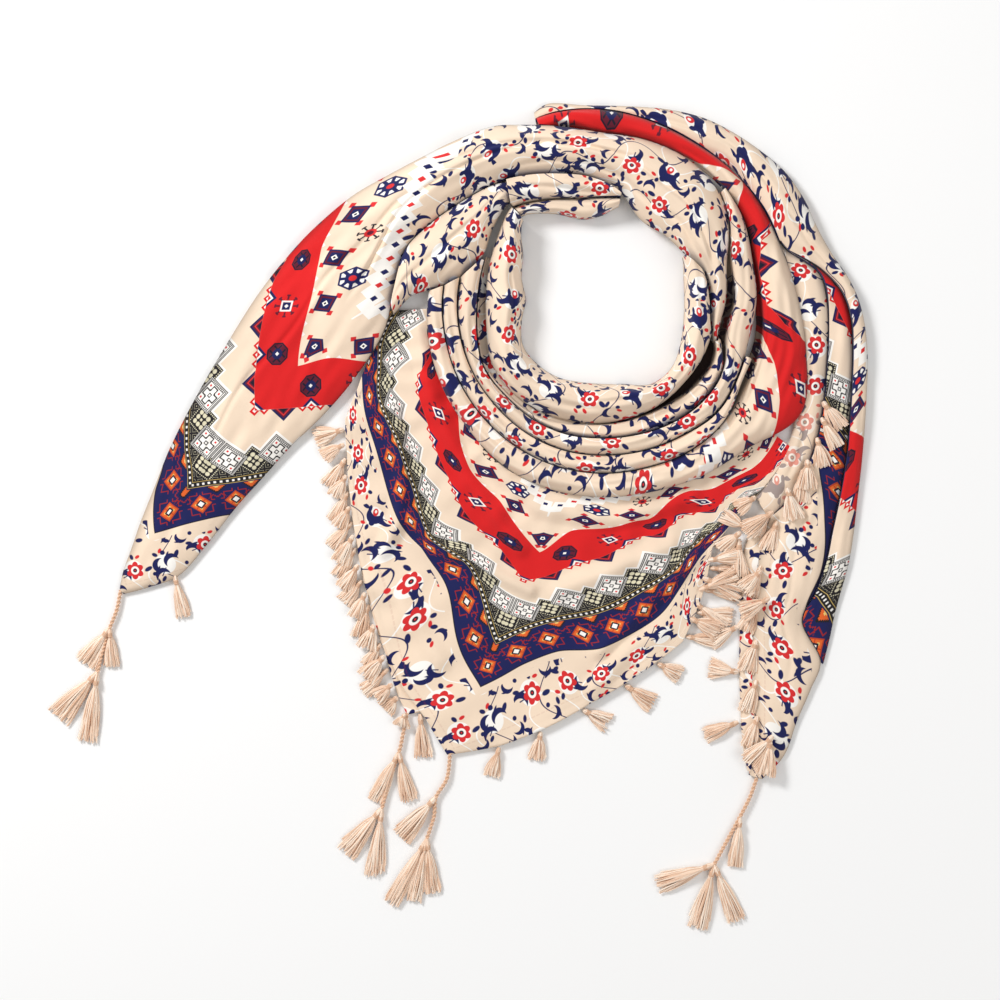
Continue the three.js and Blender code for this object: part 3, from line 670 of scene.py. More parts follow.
def boxes_meet(one, other):
    """True if the boxes round two objects overlap."""
    corners = []
    for piece in (one, other):
        spots = np.array([corner[:] for corner in piece.bound_box])
        corners.append((spots.min(axis=0), spots.max(axis=0)))
    (low, high), (other_low, other_high) = corners
    return bool(np.all(low < other_high) and np.all(other_low < high))


def cut(piece, tools):
    """Cuts a piece by each tool that reaches it."""
    tools = [tool for tool in tools if boxes_meet(piece, tool)]
    for tool in tools:
        knife = piece.modifiers.new(tool.name, "BOOLEAN")
        knife.operation = "DIFFERENCE"
        knife.solver = "MANIFOLD"
        knife.object = tool
    if tools:
        shape = piece.evaluated_get(bpy.context.evaluated_depsgraph_get())
        mesh = bpy.data.meshes.new_from_object(shape)
        piece.modifiers.clear()
        piece.data = mesh
    return len(tools)

# %% [markdown]
# ## The folds round the neck
# The scarf is rolled on itself, so what shows is a cascade of rounded folds that lean
# outwards over each other. Each has two creases as its edges and a crown between. A few long
# pleats are pressed into the crowns, as deep and as uneven as in the photograph.

# %% Pleats in the folds: piece, from, to (degrees), from, to (share of the width), depth (mm)
PLEATS = [
    ("neck_fold_1", 150, 300, 0.30, 0.45, 1.3),
    ("neck_fold_1", 230, 380, 0.72, 0.55, 1.1),
    ("neck_fold_2", 175, 330, 0.45, 0.60, 1.4),
    ("neck_fold_3", 170, 290, 0.35, 0.30, 1.6),
    ("neck_fold_3", 240, 395, 0.65, 0.60, 1.4),
    ("neck_fold_4", 170, 330, 0.50, 0.40, 1.5),
    ("collar_band", 180, 300, 0.35, 0.55, 1.2),
    ("collar_band", 300, 440, 0.25, 0.30, 1.6),
    ("back_fold_1", 82, 132, 0.40, 0.60, 1.2),
    ("back_fold_2", 82, 132, 0.30, 0.45, 1.8),
    ("back_fold_2", 82, 132, 0.70, 0.75, 1.4),
]
PLEAT_WIDE = 1.7  # mm, half the width of a pleat's groove
SWELL, SWELL_WIDE = 0.45, 3  # the swelling beside it, as shares of its depth and its width
PLEAT_END = 0.15  # the share of its length over which a pleat starts, and ends
STRAY, STRAY_LAP, STRAY_SHIFT = 0.05, 9.0, 7  # how a pleat strays: share of the width, degrees, shift
WRINKLE = 0.45  # mm, the height of the small wrinkles


def groove(away, t, deep):
    """A pleat's depth, away from its line in half widths, t from one end (0) to the other (1)."""
    ends = smooth(t, 0, PLEAT_END) * (1 - smooth(t, 1 - PLEAT_END, 1))
    return deep * ends * (np.exp(-(away**2)) - SWELL * np.exp(-((away / SWELL_WIDE) ** 2)))


def pressed(name, turn, u, width):
    """How much the pleats press a fold in, at each angle and share of its width."""
    depth = np.zeros(np.broadcast(turn, u).shape)
    for piece, start, stop, from_share, to_share, deep in PLEATS:
        if piece != name:
            continue
        t = np.clip((turn - start) / (stop - start), 0, 1)
        line = from_share + (to_share - from_share) * t
        line = line + STRAY * np.sin(turn / STRAY_LAP + deep * STRAY_SHIFT)
        depth += groove((u - line) * width / PLEAT_WIDE, t, deep)
    return depth


# %% The deep hollows: piece, then angle, reach (share of the width), floor (mm) and how dark their painted shade is
HOLLOWS = {
    "neck_fold_2": [
        (160, 0.9, 4.0, 0.35), (200, 0.9, 4.5, 0.35), (235, 0.7, 5.5, 0.3), (262, 0.3, 6.0, 0.4),
        (285, 0.22, 1.5, 0.95), (300, 0.28, 1.0, 1.0), (315, 0.44, 0.8, 1.0),
        (330, 0.56, 0.8, 1.0), (336, 0.6, 0.8, 1.0), (341, 0.5, 2.0, 1.0),
    ],
    "neck_fold_3": [
        (162, 0.10, 5.0, 0.5), (300, 0.08, 5.0, 0.5), (325, 0.16, 3.0, 0.85),
        (345, 0.32, 2.0, 0.95), (362, 0.28, 2.5, 0.9), (380, 0.12, 4.0, 0.6), (402, 0.08, 5.0, 0.4),
    ],
    "neck_fold_4": [(162, 0.10, 4.0, 0.6), (300, 0.10, 4.0, 0.6), (338, 0.2, 2.5, 0.9)],
    "collar_band": [
        (162, 0.12, 3.0, 0.7), (200, 0.10, 3.0, 0.6), (300, 0.08, 3.0, 0.6), (325, 0.10, 2.0, 0.8),
        (345, 0.14, 2.0, 0.8), (375, 0.10, 3.0, 0.6), (470, 0.08, 4.0, 0.4),
    ],
    "back_fold_2": [(80, 0.12, 4.0, 0.6), (134, 0.12, 4.0, 0.6)],
}
HOLLOW_EDGE = (0.8, 1.15)  # the shares of its reach between which a hollow ends
HOLLOW_PAST = 0.02  # a share of the width, so that no edge is sudden
STILL_HIGH = 0.25  # how much of a fold's height above the hollow's floor is left


def sunk(name, turn, u, high):
    """Lowers a fold into its hollows, and says how much painted shade each place gets."""
    if name not in HOLLOWS:
        return high, 0 * high
    angles, stop, floor_at, dark = np.array(HOLLOWS[name], float).T
    stop, floor_at, dark = [np.interp(turn, angles, one)[:, None] for one in (stop, floor_at, dark)]
    inside = 1 - smooth(u, stop * HOLLOW_EDGE[0], stop * HOLLOW_EDGE[1] + HOLLOW_PAST)
    low = floor_at + (high - floor_at) * STILL_HIGH
    return high + (np.minimum(low, high) - high) * inside, dark * inside


RIPPLE, RIPPLE_LAP = (0.05, 0.03), (11.0, 4.7)  # a crown's two waves: share of it, and degrees
CUT_PAST = 0.5  # degrees that a fold's cutter runs past its ends


def neck_fold(name, number):
    """A fold round the neck: its sections, flat cloth, marks, painted shade, angles and cutter."""
    inner, outer, start, stop, crown, in_lip, out_lip, peak = FOLDS[name]
    far = crease(outer, np.linspace(start, stop, 9)).max()
    count = int(math.radians(stop - start) * far / CELL) + 1
    turn = np.linspace(start, stop, count)
    a = polar(turn, crease(inner, turn))
    b = polar(turn, crease(outer, turn))
    breadth = np.linalg.norm(b - a, axis=-1)
    across_count = int((breadth.max() + crown) / CELL) + 2
    same = np.ones(count)
    along = run_length((a + b) / 2)
    ripple = 1 + RIPPLE[0] * np.sin(turn / RIPPLE_LAP[0] + number)
    ripple = ripple + RIPPLE[1] * np.sin(turn / RIPPLE_LAP[1] + 2 * number)

    def extra(u, arc):
        small = WRINKLE * wrinkles(arc, along[:, None], seed=number)
        return small - pressed(name, turn[:, None], u, breadth[:, None])

    heights = (crown * ripple, in_lip * same, out_lip * same, peak * same)
    across, width, reach, high, arc = section(a, b, heights, TUCK, across_count, extra)
    u = np.linspace(0, 1, across_count)[None]
    high, hollow_shade = sunk(name, turn, u, high)
    rings, under = close_section(a, across, width, reach, high)
    # Painted shade: darker in the deep hollows, and near every crease.
    painted_shade = np.zeros(under.shape)
    painted_shade[:, TOP_START:TOP_END + 1 + under.shape[1]] = hollow_shade
    painted_shade[:, :TOP_START] = hollow_shade[:, :1]
    painted_shade = np.maximum(painted_shade, edge_shade(rings))
    cut_turn = np.linspace(start - CUT_PAST, stop + CUT_PAST, count // 2)
    held = np.clip(cut_turn, start, stop)
    edges = [polar(cut_turn, crease(edge, held)) for edge in (inner, outer)]
    cutter = leaning_cutter(name, *edges, in_lip, out_lip)
    return rings, strip_flat(rings, along, 0, 0), under, painted_shade, turn, cutter


# %% [markdown]
# ## The long stretches
# The tail at the left, the band that crosses over it and the wraps at the right are strips:
# two edges and a crown, row by row. They share one function, and only their rows differ.

# %% Strips from rows
LIP = 0.45  # the lip's height as a share of the crown's
UNDERLAP = 3.0  # mm that a stretch starts under its inner neighbour
TAME = 6.0  # mm, the height of a crown below which its wrinkles get smaller too
DRIFT, DRIFT_LAP = 0.03, 13  # how a strip's pleat strays: share of the width, and mm


def strip(name, rows, number, under=0.0, pleats=(), rough=WRINKLE):
    """A long stretch: its sections and marks, then for each its row and length, and its cutter."""
    rows = np.array(rows, float)
    ends = place((rows[:, 0] + rows[:, 2]) / 2, (rows[:, 1] + rows[:, 3]) / 2)
    count = int(run_length(ends)[-1] / CELL) + 1
    where = np.linspace(0, len(rows) - 1, count)
    fine = along_rows(rows, where)
    a, b = place(fine[:, 0], fine[:, 1]), place(fine[:, 2], fine[:, 3])
    start = a.copy()
    a = a + (a - b) / np.linalg.norm(b - a, axis=-1, keepdims=True) * under
    crown = fine[:, 4]
    breadth = np.linalg.norm(b - a, axis=-1)
    across_count = int((breadth.max() + crown.max()) / CELL) + 2
    along = run_length((a + b) / 2)
    tame = np.minimum(1, crown / TAME)[:, None]

    def extra(u, arc):
        lift = rough * tame * wrinkles(arc, along[:, None], seed=number, short=12, long=90)
        for from_row, to_row, from_share, to_share, deep in pleats:
            t = np.clip((where[:, None] - from_row) / (to_row - from_row), 0, 1)
            line = from_share + (to_share - from_share) * t
            line = line + DRIFT * np.sin(along[:, None] / DRIFT_LAP)
            lift = lift - groove((u - line) * breadth[:, None] / PLEAT_WIDE, t, deep)
        return lift

    heights = (crown, crown * LIP, crown * LIP, 0.5 * np.ones(count))
    across, width, reach, high, arc = section(a, b, heights, 0.0, across_count, extra)
    rings, marks = close_section(a, across, width, reach, high)
    return rings, marks, where, along, prism(name, start, b)


# %% [markdown]
# ## The front corner
# Two layers of the square hang down in front as a point: the upper one shows, and the lower
# one peeps out at its hem. They are sheets, so each is a grid of spokes from the neck's
# centre, a wall of one cloth, raised along the soft ridges read from the photograph.

# %% Heights of the panels
HEM_PAST = 6.0  # mm that the upper layer stays level past the lower one's hem
DROOP = 14.0  # mm over which it then comes down to the floor
TIP_REACH = 6.4  # degrees that the lower layer's point reaches to each side
PANEL_CELL = 1.45 * CELL
SPOKE_REACH = 210  # mm from the neck's centre, where neighbouring spokes are a cell apart
MIDDLE_REACH = 150  # mm, where wrinkles are as wide as they say
TUCKED = 6  # mm that a panel starts inside the outermost crease
HEM_FOLD = (3.5, 4.5)  # mm from the edge, between which the turned hem ends
HEM_WALL = 0.25  # the share of the wall that it adds


def ridge_height(points):
    """How high the soft ridges stand at places in mm."""
    height = np.zeros(points.shape[:-1])
    for high, wide, line in RIDGES:
        line = place(*np.array(line, float).T)
        nearest = np.full(points.shape[:-1], np.inf)
        for start, stop in zip(line[:-1], line[1:]):
            run = stop - start
            t = np.clip(((points - start) @ run) / (run @ run), 0, 1)
            nearest = np.minimum(nearest, np.linalg.norm(points - start - t[..., None] * run, axis=-1))
        height = np.maximum(height, high * smooth(wide - nearest, 0, wide))
    return height


def cover(turn):
    """How far the lower layer reaches under the upper one at this angle."""
    return np.max([hem(UNDER_HEM, turn + step) for step in (-TIP_REACH, 0, TIP_REACH)], axis=0)


def panel(table, start, stop, number, level, rough):
    """A wall over a grid of spokes, from under the collar to its hem: sections, flat cloth, marks."""
    count = int(math.radians(stop - start) * SPOKE_REACH / PANEL_CELL)
    turn = np.unique(np.concatenate([np.linspace(start, stop, count), [row[0] for row in table]]))
    turn = turn[(turn >= start) & (turn <= stop)]
    first = crease("five", turn) - TUCKED
    last = hem(table, turn)
    cells = int((last - first).max() / PANEL_CELL)
    share = np.linspace(0, 1, cells + 1)[None]
    r = first[:, None] + (last - first)[:, None] * share
    points = polar(turn[:, None], r)
    across = np.radians(turn)[:, None] * MIDDLE_REACH
    edge_gap = (last - first)[:, None] * (1 - share)
    z = level(points, turn[:, None], r)
    z = z + rough * (wrinkles(across, r, number, short=16, long=60) + 1) * smooth(edge_gap, 0, 8)
    z = np.maximum(z, 0)
    wall = CLOTH * (1 - HEM_WALL * smooth(edge_gap, *HEM_FOLD))
    top = np.concatenate([points, (z + wall)[..., None]], axis=-1)
    low = np.concatenate([points, z[..., None]], axis=-1)[:, ::-1]
    flat = front_flat(points)
    rings = np.concatenate([low[:, -1:], top, low[:, :-1]], axis=1)
    flats = np.concatenate([flat[:, :1], flat, flat[:, ::-1][:, :-1]], axis=1)
    marks = np.concatenate([np.zeros((len(turn), cells + 2)), np.ones((len(turn), cells))], axis=1)
    return rings, flats, marks


def front_level(points, turn, r):
    """How high the upper layer lies: over the lower one, then down to the floor."""
    past = r - cover(turn[:, 0])[:, None]
    droop = smooth(past, HEM_PAST, HEM_PAST + DROOP)
    return (CLOTH + GAP) * (1 - droop) + ridge_height(points)


# %% [markdown]
# ## The heap, from the top down
# Every stretch is made here in the order in which it lies, so that each is cut clear of all
# those above it. The order, the names and the edges are those of the solid model.

# %% Making, cutting and keeping a stretch
BAND_IN = 175.0  # mm from the hem, where the long bands' print is all flowers
FLAT_STARTS = {  # stretch: mm along the hem and mm in from it, where its flat cloth starts
    "cross_fold": (357, BAND_IN + 11),
    "rolled": (330.0, BAND_IN),
    "inner_wrap": (505, BAND_IN + 55),
    "right_under": (20, 2),
}
ROLL_STEP = (41, 13)  # mm along and in, from one rolled fold to the next
COLLAR_START, OUTER_START = 300, 260  # mm along the hem, where those two start


def keep(name, rings, flat, marks, painted_shade=0.0, cutter=None):
    """Makes a stretch, cuts it by all that lie on it, and keeps its own cutter."""
    piece = skin(name, rings, flat, marks, painted_shade)
    made = cut(piece, cutters)
    if cutter is not None:
        cutters.append(cutter)
    pieces[name] = piece
    print(f"{name}: {len(piece.data.polygons)} faces, cut by {made}")


# %% Tail and crossing bands
TAIL_PLEATS = [  # from row, to row, from share, to share, depth (mm)
    (4, 13, 0.30, 0.42, 1.2),
    (9, 20, 0.62, 0.35, 2.2),
    (12, 24, 0.25, 0.60, 2.0),
    (15, 26, 0.80, 0.75, 1.8),
]
rings, marks, where, along, cutter = strip("tail_band", TAIL_BAND, 21, pleats=TAIL_PLEATS)
arc = ring_arc(rings)
share = np.clip(crown_share(arc), 0, 1)
edge_a, edge_b = rings[:, TOP_START, :2], rings[:, TOP_END, :2]
spread = edge_a[:, None] + (edge_b - edge_a)[:, None] * share[..., None]
near = tail_flat(spread)


LEAD, ASIDE, BLEND = 12, 8, 25  # rows and points to take the direction from, mm to change over


def carry_on(near, arc, along, row):
    """From this row on, the flat cloth just runs on at its true length and width."""
    middle = arc.shape[1] // 3
    ahead = near[row, middle] - near[row - LEAD, middle]
    ahead = ahead / np.linalg.norm(ahead)
    aside = np.array([-ahead[1], ahead[0]])
    if (near[row, middle + ASIDE] - near[row, middle]) @ aside < 0:
        aside = -aside
    gone = (along - along[row])[:, None, None]
    out = (arc - arc[:, middle, None])[..., None]
    far = near[row, middle] + gone * ahead + out * aside
    away = smooth(along - along[row], -BLEND, 0)[:, None, None]
    return near * (1 - away) + far * away


FLAT_TO = 14.5  # the row of the band up to which its print follows the marks
flat = carry_on(near, arc, along, int(np.searchsorted(where, FLAT_TO)))
keep("tail_band", rings, flat, marks, edge_shade(rings), cutter)

cross_pleats = [(0, 8, 0.5, 0.4, 1.5)]
rings, marks, where, along, cutter = strip("cross_fold", CROSS_FOLD, 22, pleats=cross_pleats)
flat = strip_flat(rings, along, *FLAT_STARTS["cross_fold"])
keep("cross_fold", rings, flat, marks, edge_shade(rings), cutter)

# %% Folds round the neck and at the back
ROLLED = ["neck_fold_1", "back_fold_1", "back_fold_2", "neck_fold_2", "neck_fold_3", "neck_fold_4"]
for number, name in enumerate(ROLLED):
    rings, flat, marks, painted_shade, _, cutter = neck_fold(name, number)
    flat = flat + (np.array(FLAT_STARTS["rolled"]) + number * np.array(ROLL_STEP))
    keep(name, rings, flat, marks, painted_shade, cutter)

# %% [markdown]
# The outermost fold turns into the printed border on its way round. One more row of sizes
# says where the border's red begins, at each angle from the neck's centre.

# %% The collar band, with its border
RED_BEGINS = [  # angle, distance in pixels
    (150, 300), (270, 290), (300, 250), (315, 222), (330, 202), (340, 182), (347, 165), (352, 138),
    (358, 122), (370, 117), (380, 124), (388, 146), (395, 166), (400, 178), (405, 175), (417, 165),
    (430, 160), (450, 158), (470, 152),
]
RED_IN = 122.0  # mm from the hem to the red border's inner edge
rings, flat, marks, painted_shade, turn, cutter = neck_fold("collar_band", 6)
angles, distances = np.array(RED_BEGINS, float).T
red = np.interp(turn, angles, distances) * PIXEL
inner_edge = crease("four", turn)
outer_edge = crease("five", turn)
r = inner_edge[:, None] + (outer_edge - inner_edge)[:, None] * crown_share(flat[..., 1])
flat = np.stack([flat[..., 0] + COLLAR_START, RED_IN + red[:, None] - r], axis=-1)
keep("collar_band", rings, flat, marks, painted_shade, cutter)

# %% Wraps and tail at the right
RIGHT_MARKS = [
    (757, 776, 0, 0), (757, 755, 12, 0), (757, 720, 33, 0), (757, 690, 51, 0), (757, 655, 72, 0),
    (758, 620, 93, 0), (760, 590, 111, 0), (763, 560, 130, 0), (772, 525, 152, 0), (784, 492, 173, 2),
    (798, 460, 194, 14), (812, 425, 216, 30), (823, 390, 240, 55), (826, 350, 270, 62),
    (800, 610, 106, 29), (820, 575, 130, 31), (825, 545, 148, 31), (824, 520, 163, 31),
    (818, 470, 192, 31), (815, 440, 210, 31), (846, 455, 214, 50), (840, 410, 240, 56),
    (835, 365, 268, 70), (851, 385, 262, 66), (852, 350, 285, 72), (850, 318, 300, 84),
    (826, 315, 292, 76), (840, 291, 310, 95), (802, 267, 330, 100), (820, 660, 80, 30),
    (810, 690, 66, 27), (797, 720, 46, 22), (784, 755, 22, 14), (762, 779, 2, 1),
]
OUTER_ROWS = (0, 2, 3, 4, 5, 6, 7, 8, 9, 10, 11, 12, 14)  # rows of the outer wrap
OUTER_IN = (40, 47, 54, 66, 80, 92, 104, 118, 132, 147, 160, 172, 200)  # mm from the hem there
inner_pleats = [(1, 8, 0.5, 0.4, 1.2)]
rings, marks, where, along, cutter = strip("inner_wrap", INNER_WRAP, 31, UNDERLAP, inner_pleats)
TURNED_OVER, TURNED_DOWN = 0.75, (385, 425)  # how much of its underside shows, and where, in pixels
turned_from, turned_to = [-place(0, down)[1] for down in TURNED_DOWN]
turned = TURNED_OVER * smooth(-rings[..., 1], turned_from, turned_to)
flat = strip_flat(rings, along, *FLAT_STARTS["inner_wrap"])
keep("inner_wrap", rings, flat, np.maximum(marks, turned), edge_shade(rings), cutter)

tail_pleats = [(3, 10, 0.6, 0.5, 1.0)]
rings, marks, where, along, cutter = strip("right_tail", RIGHT_TAIL, 32, UNDERLAP, tail_pleats)
EDGE_RUN = (-0.455, -0.89)  # the way the border's bands run there, in pixels
EDGE_AT, EDGE_SCALE = (845, 440, 216, 57), 1.25  # pixel, then its place along and in from the hem
beside = rings[..., :2] - place(*EDGE_AT[:2])
run = np.array([EDGE_RUN[0], -EDGE_RUN[1]])
upper = np.stack([
    EDGE_AT[2] + beside @ run,
    EDGE_AT[3] + EDGE_SCALE * (beside @ np.array([run[1], -run[0]])),
], axis=-1)
EDGE_DOWN = (462, 415)  # the pixels down between which it gives way to the marks
higher = smooth(rings[..., 1], *[place(0, down)[1] for down in EDGE_DOWN])[..., None]
flat = spline(RIGHT_MARKS)(rings[..., :2]) * (1 - higher) + upper * higher
keep("right_tail", rings, flat, marks, edge_shade(rings), cutter)

outer_pleats = [(12, 24, 0.5, 0.6, 1.5)]
rings, marks, where, along, cutter = strip("outer_wrap", OUTER_WRAP, 33, UNDERLAP, outer_pleats)
arc = ring_arc(rings)
aside = arc - arc[:, arc.shape[1] // 3, None]
far = np.interp(where, OUTER_ROWS, OUTER_IN)
PAST_ROWS = 0.5  # mm that the border moves in for each mm past the last of those rows
OBLIQUE = 0.6  # mm that it moves in for each mm across the strip
AHEAD = 0.8  # mm that the print runs on for each mm along the strip
far = far + PAST_ROWS * np.maximum(0, along - np.interp(OUTER_ROWS[-1], where, along))
on = OUTER_START + AHEAD * along[:, None]
flat = np.stack([on - OBLIQUE * aside, far[:, None] + OBLIQUE * aside], axis=-1)
keep("outer_wrap", rings, flat, marks, edge_shade(rings), cutter)

# %% The front corner's two layers and the hem under the right tail
FRONT_RUN, UNDER_RUN = (183, 322), (200, 304)  # degrees round the neck's centre
FRONT_ROUGH, UNDER_ROUGH = 0.5, 0.2  # mm, the height of the small wrinkles
keep("front_panel", *panel(FRONT_HEM, *FRONT_RUN, 41, front_level, FRONT_ROUGH))
keep("under_panel", *panel(UNDER_HEM, *UNDER_RUN, 42, lambda points, turn, r: 0 * r, 0.0))
rings, marks, where, along, cutter = strip("right_under", RIGHT_UNDER, 43, rough=UNDER_ROUGH)
flat = strip_flat(rings, along, *FLAT_STARTS["right_under"])
keep("right_under", rings, flat, marks, cutter=cutter)

for tool in cutters:
    bpy.data.objects.remove(tool)
print(len(pieces), "stretches of cloth,", sum(len(one.data.polygons) for one in pieces.values()), "faces")

# %% [markdown]
# ## The print
# The cloth is printed with a traditional border: a flowered hem, a navy band of stars, a
# row of dots, a lattice of diamonds, a red band with suns and octagons, a plain band with
# small squares, a zigzag, and a field of flowers in the middle. A picture could hold it, but
# a picture blurs up close and has to be painted first. Here every motif is a small formula
# on the flat cloth, so it stays sharp and bends with the folds.

# %% Inks
def ink(red, green, blue):
    """A colour as a screen shows it, from 0 to 255, as linear light."""
    values = np.array([red, green, blue]) / 255
    linear = np.where(values <= 0.04045, values / 12.92, ((values + 0.055) / 1.055) ** 2.4)
    return (*linear.tolist(), 1.0)


INKS = {
    "cream": ink(240, 217, 193),
    "white": ink(250, 246, 240),
    "red": ink(216, 28, 30),
    "flower": ink(214, 44, 46),
    "navy": ink(22, 28, 84),
    "night": ink(22, 20, 40),
    "maroon": ink(96, 22, 44),
    "rust": ink(158, 34, 30),
    "orange": ink(226, 100, 40),
    "yellow": ink(238, 204, 120),
    "straw": ink(222, 214, 184),
    "black": ink(28, 26, 30),
    # the colour of the painted shade in hollows and creases
    "shade": ink(34, 20, 18),
}
print(len(INKS), "inks")

# %% [markdown]
# A shader tree of many small nodes is hard to read, so a thin helper lets a socket be added,
# multiplied and compared like a number. Each step still becomes one plain Math node.

# %% Reckoning with sockets
class Wire:
    """A number that changes over the cloth."""

    def __init__(self, tree, socket):
        self.tree = tree
        self.socket = socket

    def run(self, operation, *others, clamp=False):
        node = self.tree.nodes.new("ShaderNodeMath")
        node.operation = operation
        node.use_clamp = clamp
        for slot, value in zip(node.inputs, (self, *others)):
            if isinstance(value, Wire):
                self.tree.links.new(value.socket, slot)
            else:
                slot.default_value = value
        return Wire(self.tree, node.outputs[0])

    def __add__(self, other):
        return self.run("ADD", other)

    def __sub__(self, other):
        return self.run("SUBTRACT", other)

    def __mul__(self, other):
        return self.run("MULTIPLY", other)

    def __abs__(self):
        return self.run("ABSOLUTE")

    def times_plus(self, factor, term):
        return self.run("MULTIPLY_ADD", factor, term)


EDGE = 0.16  # mm over which one ink gives way to the next


def below(value, limit):
    """1 where the value is below the limit, which may change over the cloth too."""
    if isinstance(limit, Wire):
        value, limit = value - limit, 0.0
    return value.run("MULTIPLY_ADD", -0.5 / EDGE, 0.5 * limit / EDGE + 0.5, clamp=True)


def above(value, limit):
    return value.run("MULTIPLY_ADD", 0.5 / EDGE, 0.5 - 0.5 * limit / EDGE, clamp=True)


def within(value, middle, half):
    return below(abs(value - middle), half)


def both(*masks):
    found = masks[0]
    for mask in masks[1:]:
        found = found * mask
    return found


def either(*masks):
    found = masks[0]
    for mask in masks[1:]:
        found = found.run("MAXIMUM", mask)
    return found


def without(mask, hole):
    return mask * hole.times_plus(-1, 1)


def repeat(value, pitch, shift=0.0):
    """The distance to the middle of the nearest repeat."""
    if shift:
        value = value + shift
    return value.run("WRAP", pitch / 2, -pitch / 2)


def odd(value, pitch, shift=0.0):
    """1 in every second repeat."""
    number = value.times_plus(1 / pitch, 0.5 + shift / pitch).run("FLOOR")
    return number.run("PINGPONG", 1)


def stepped(value, size=1.2):
    """The value in steps, as woven motifs have."""
    return value.run("SNAP", size) + size / 2


def larger(one, other):
    return one.run("MAXIMUM", other)


def smaller(one, other):
    return one.run("MINIMUM", other)


def length(x, y):
    return (x * x + y * y).run("SQRT")


def paint(under, name, mask):
    """Lays one ink over what is printed so far."""
    tree = mask.tree
    node = tree.nodes.new("ShaderNodeMix")
    node.data_type = "RGBA"
    tree.links.new(mask.socket, node.inputs["Factor"])
    base, top = node.inputs[6], node.inputs[7]
    if isinstance(under, str):
        base.default_value = INKS[under]
    else:
        tree.links.new(under, base)
    if isinstance(name, str):
        top.default_value = INKS[name]
    else:
        tree.links.new(name, top)
    return node.outputs[2]


def overprint(under, *layers):
    """Lays inks over what is printed so far: each layer is an ink or a colour, and its mask."""
    for name, mask in layers:
        under = paint(under, name, mask)
    return under


def group(name, inputs, outputs):
    """An empty node group, its input wires by name, and its output node."""
    tree = bpy.data.node_groups.new(name, "ShaderNodeTree")
    for socket, kind in inputs.items():
        tree.interface.new_socket(socket, in_out="INPUT", socket_type=kind)
    for socket, kind in outputs.items():
        tree.interface.new_socket(socket, in_out="OUTPUT", socket_type=kind)
    start = tree.nodes.new("NodeGroupInput")
    end = tree.nodes.new("NodeGroupOutput")
    wires = {socket: Wire(tree, start.outputs[socket]) for socket in inputs}
    return tree, wires, end


def use(tree, inner, **sockets):
    """Places a group in a tree and links wires or sockets to its inputs."""
    node = tree.nodes.new("ShaderNodeGroup")
    node.node_tree = inner
    for name, value in sockets.items():
        slot = node.inputs[name.replace("_", " ")]
        if isinstance(value, Wire):
            value = value.socket
        if isinstance(value, (int, float)):
            slot.default_value = value
        else:
            tree.links.new(value, slot)
    return node


FLOAT, COLOR, VECTOR = "NodeSocketFloat", "NodeSocketColor", "NodeSocketVector"

# %% [markdown]
# ## Flowers
# The field and the hem share one drawing: red flowers with a white ring and a dark eye, on
# winding navy stems with curled leaves, buds and dots. Each flower sits in a cell of the
# cloth and is turned and moved by that cell's own random numbers, from a White Noise node,
# so the repeat does not show.

# %% One cell's own frame
def cell_frame(tree, across, along, size, seed, stray):
    """Coordinates round the middle of a cell, moved and turned by chance, and two chances."""
    row = across.times_plus(1 / size, 0.0).run("FLOOR")
    column = along.times_plus(1 / size, 0.0).run("FLOOR")
    join = tree.nodes.new("ShaderNodeCombineXYZ")
    tree.links.new(row.socket, join.inputs[0])
    tree.links.new(column.socket, join.inputs[1])
    join.inputs[2].default_value = seed
    noise = tree.nodes.new("ShaderNodeTexWhiteNoise")
    tree.links.new(join.outputs[0], noise.inputs["Vector"])
    parts = tree.nodes.new("ShaderNodeSeparateColor")
    tree.links.new(noise.outputs["Color"], parts.inputs[0])
    chance = [Wire(tree, parts.outputs[i]) for i in range(3)]
    x = across - row * size - chance[0].times_plus(2 * stray, size / 2 - stray)
    y = along - column * size - chance[1].times_plus(2 * stray, size / 2 - stray)
    turn = chance[2] * (2 * math.pi)
    cosine, sine = turn.run("COSINE"), turn.run("SINE")
    return x * cosine + y * sine, y * cosine - x * sine, chance[0], chance[1]


def leaf(x, y, at, radius, bite, bite_radius):
    """A curled leaf: a disc with a smaller disc bitten out of it."""
    whole = below(length(x - at[0], y - at[1]), radius)
    hole = below(length(x - bite[0], y - bite[1]), bite_radius)
    return without(whole, hole)


def drop(x, y, at, long, wide):
    """A long dot that lies along x."""
    return below(length((x - at[0]) * (wide / long), y - at[1]), wide)


# %% Flowers group
def swallow(x, y, lift, mirror=1):
    """A thick curled leaf with a pointed tail, like a swallow's wing."""
    wing = leaf(x, y, (0, lift), 4.6, (1.6 * mirror, lift + 2.6), 4.4)
    tail = drop(x, y, (-2.2 * mirror, lift - 3.6), 2.6, 0.7)
    return either(wing, tail)


flowers, wires, end = group("flowers", {"Across": FLOAT, "Along": FLOAT}, {"Color": COLOR})
across, along = wires["Across"], wires["Along"]
CELL_WIDE = 23.0  # mm from flower to flower
LOOP_CELL, LOOP_RADIUS, LOOP_WAVE, LOOP_SWAY = (34.0, 46.0), 13.0, 37.0, 4  # mm
STEM_PITCH, STEM_WAVE, STEM_SWAY = 34.5, 41.0, 7.5  # mm
LINE = 0.38  # mm, half the width of a line
BELL_FROM, LEAFY_TO, LITTLE_FROM, DOT_FROM = 0.74, 0.26, 0.3, 0.4  # chances, from 0 to 1
x, y, first, second = cell_frame(flowers, across, along, CELL_WIDE, seed=3.0, stray=3.6)
r = length(x, y)
angle = y.run("ARCTAN2", x)
rim = abs((angle * 3).run("COSINE")).times_plus(1.7, 3.9)

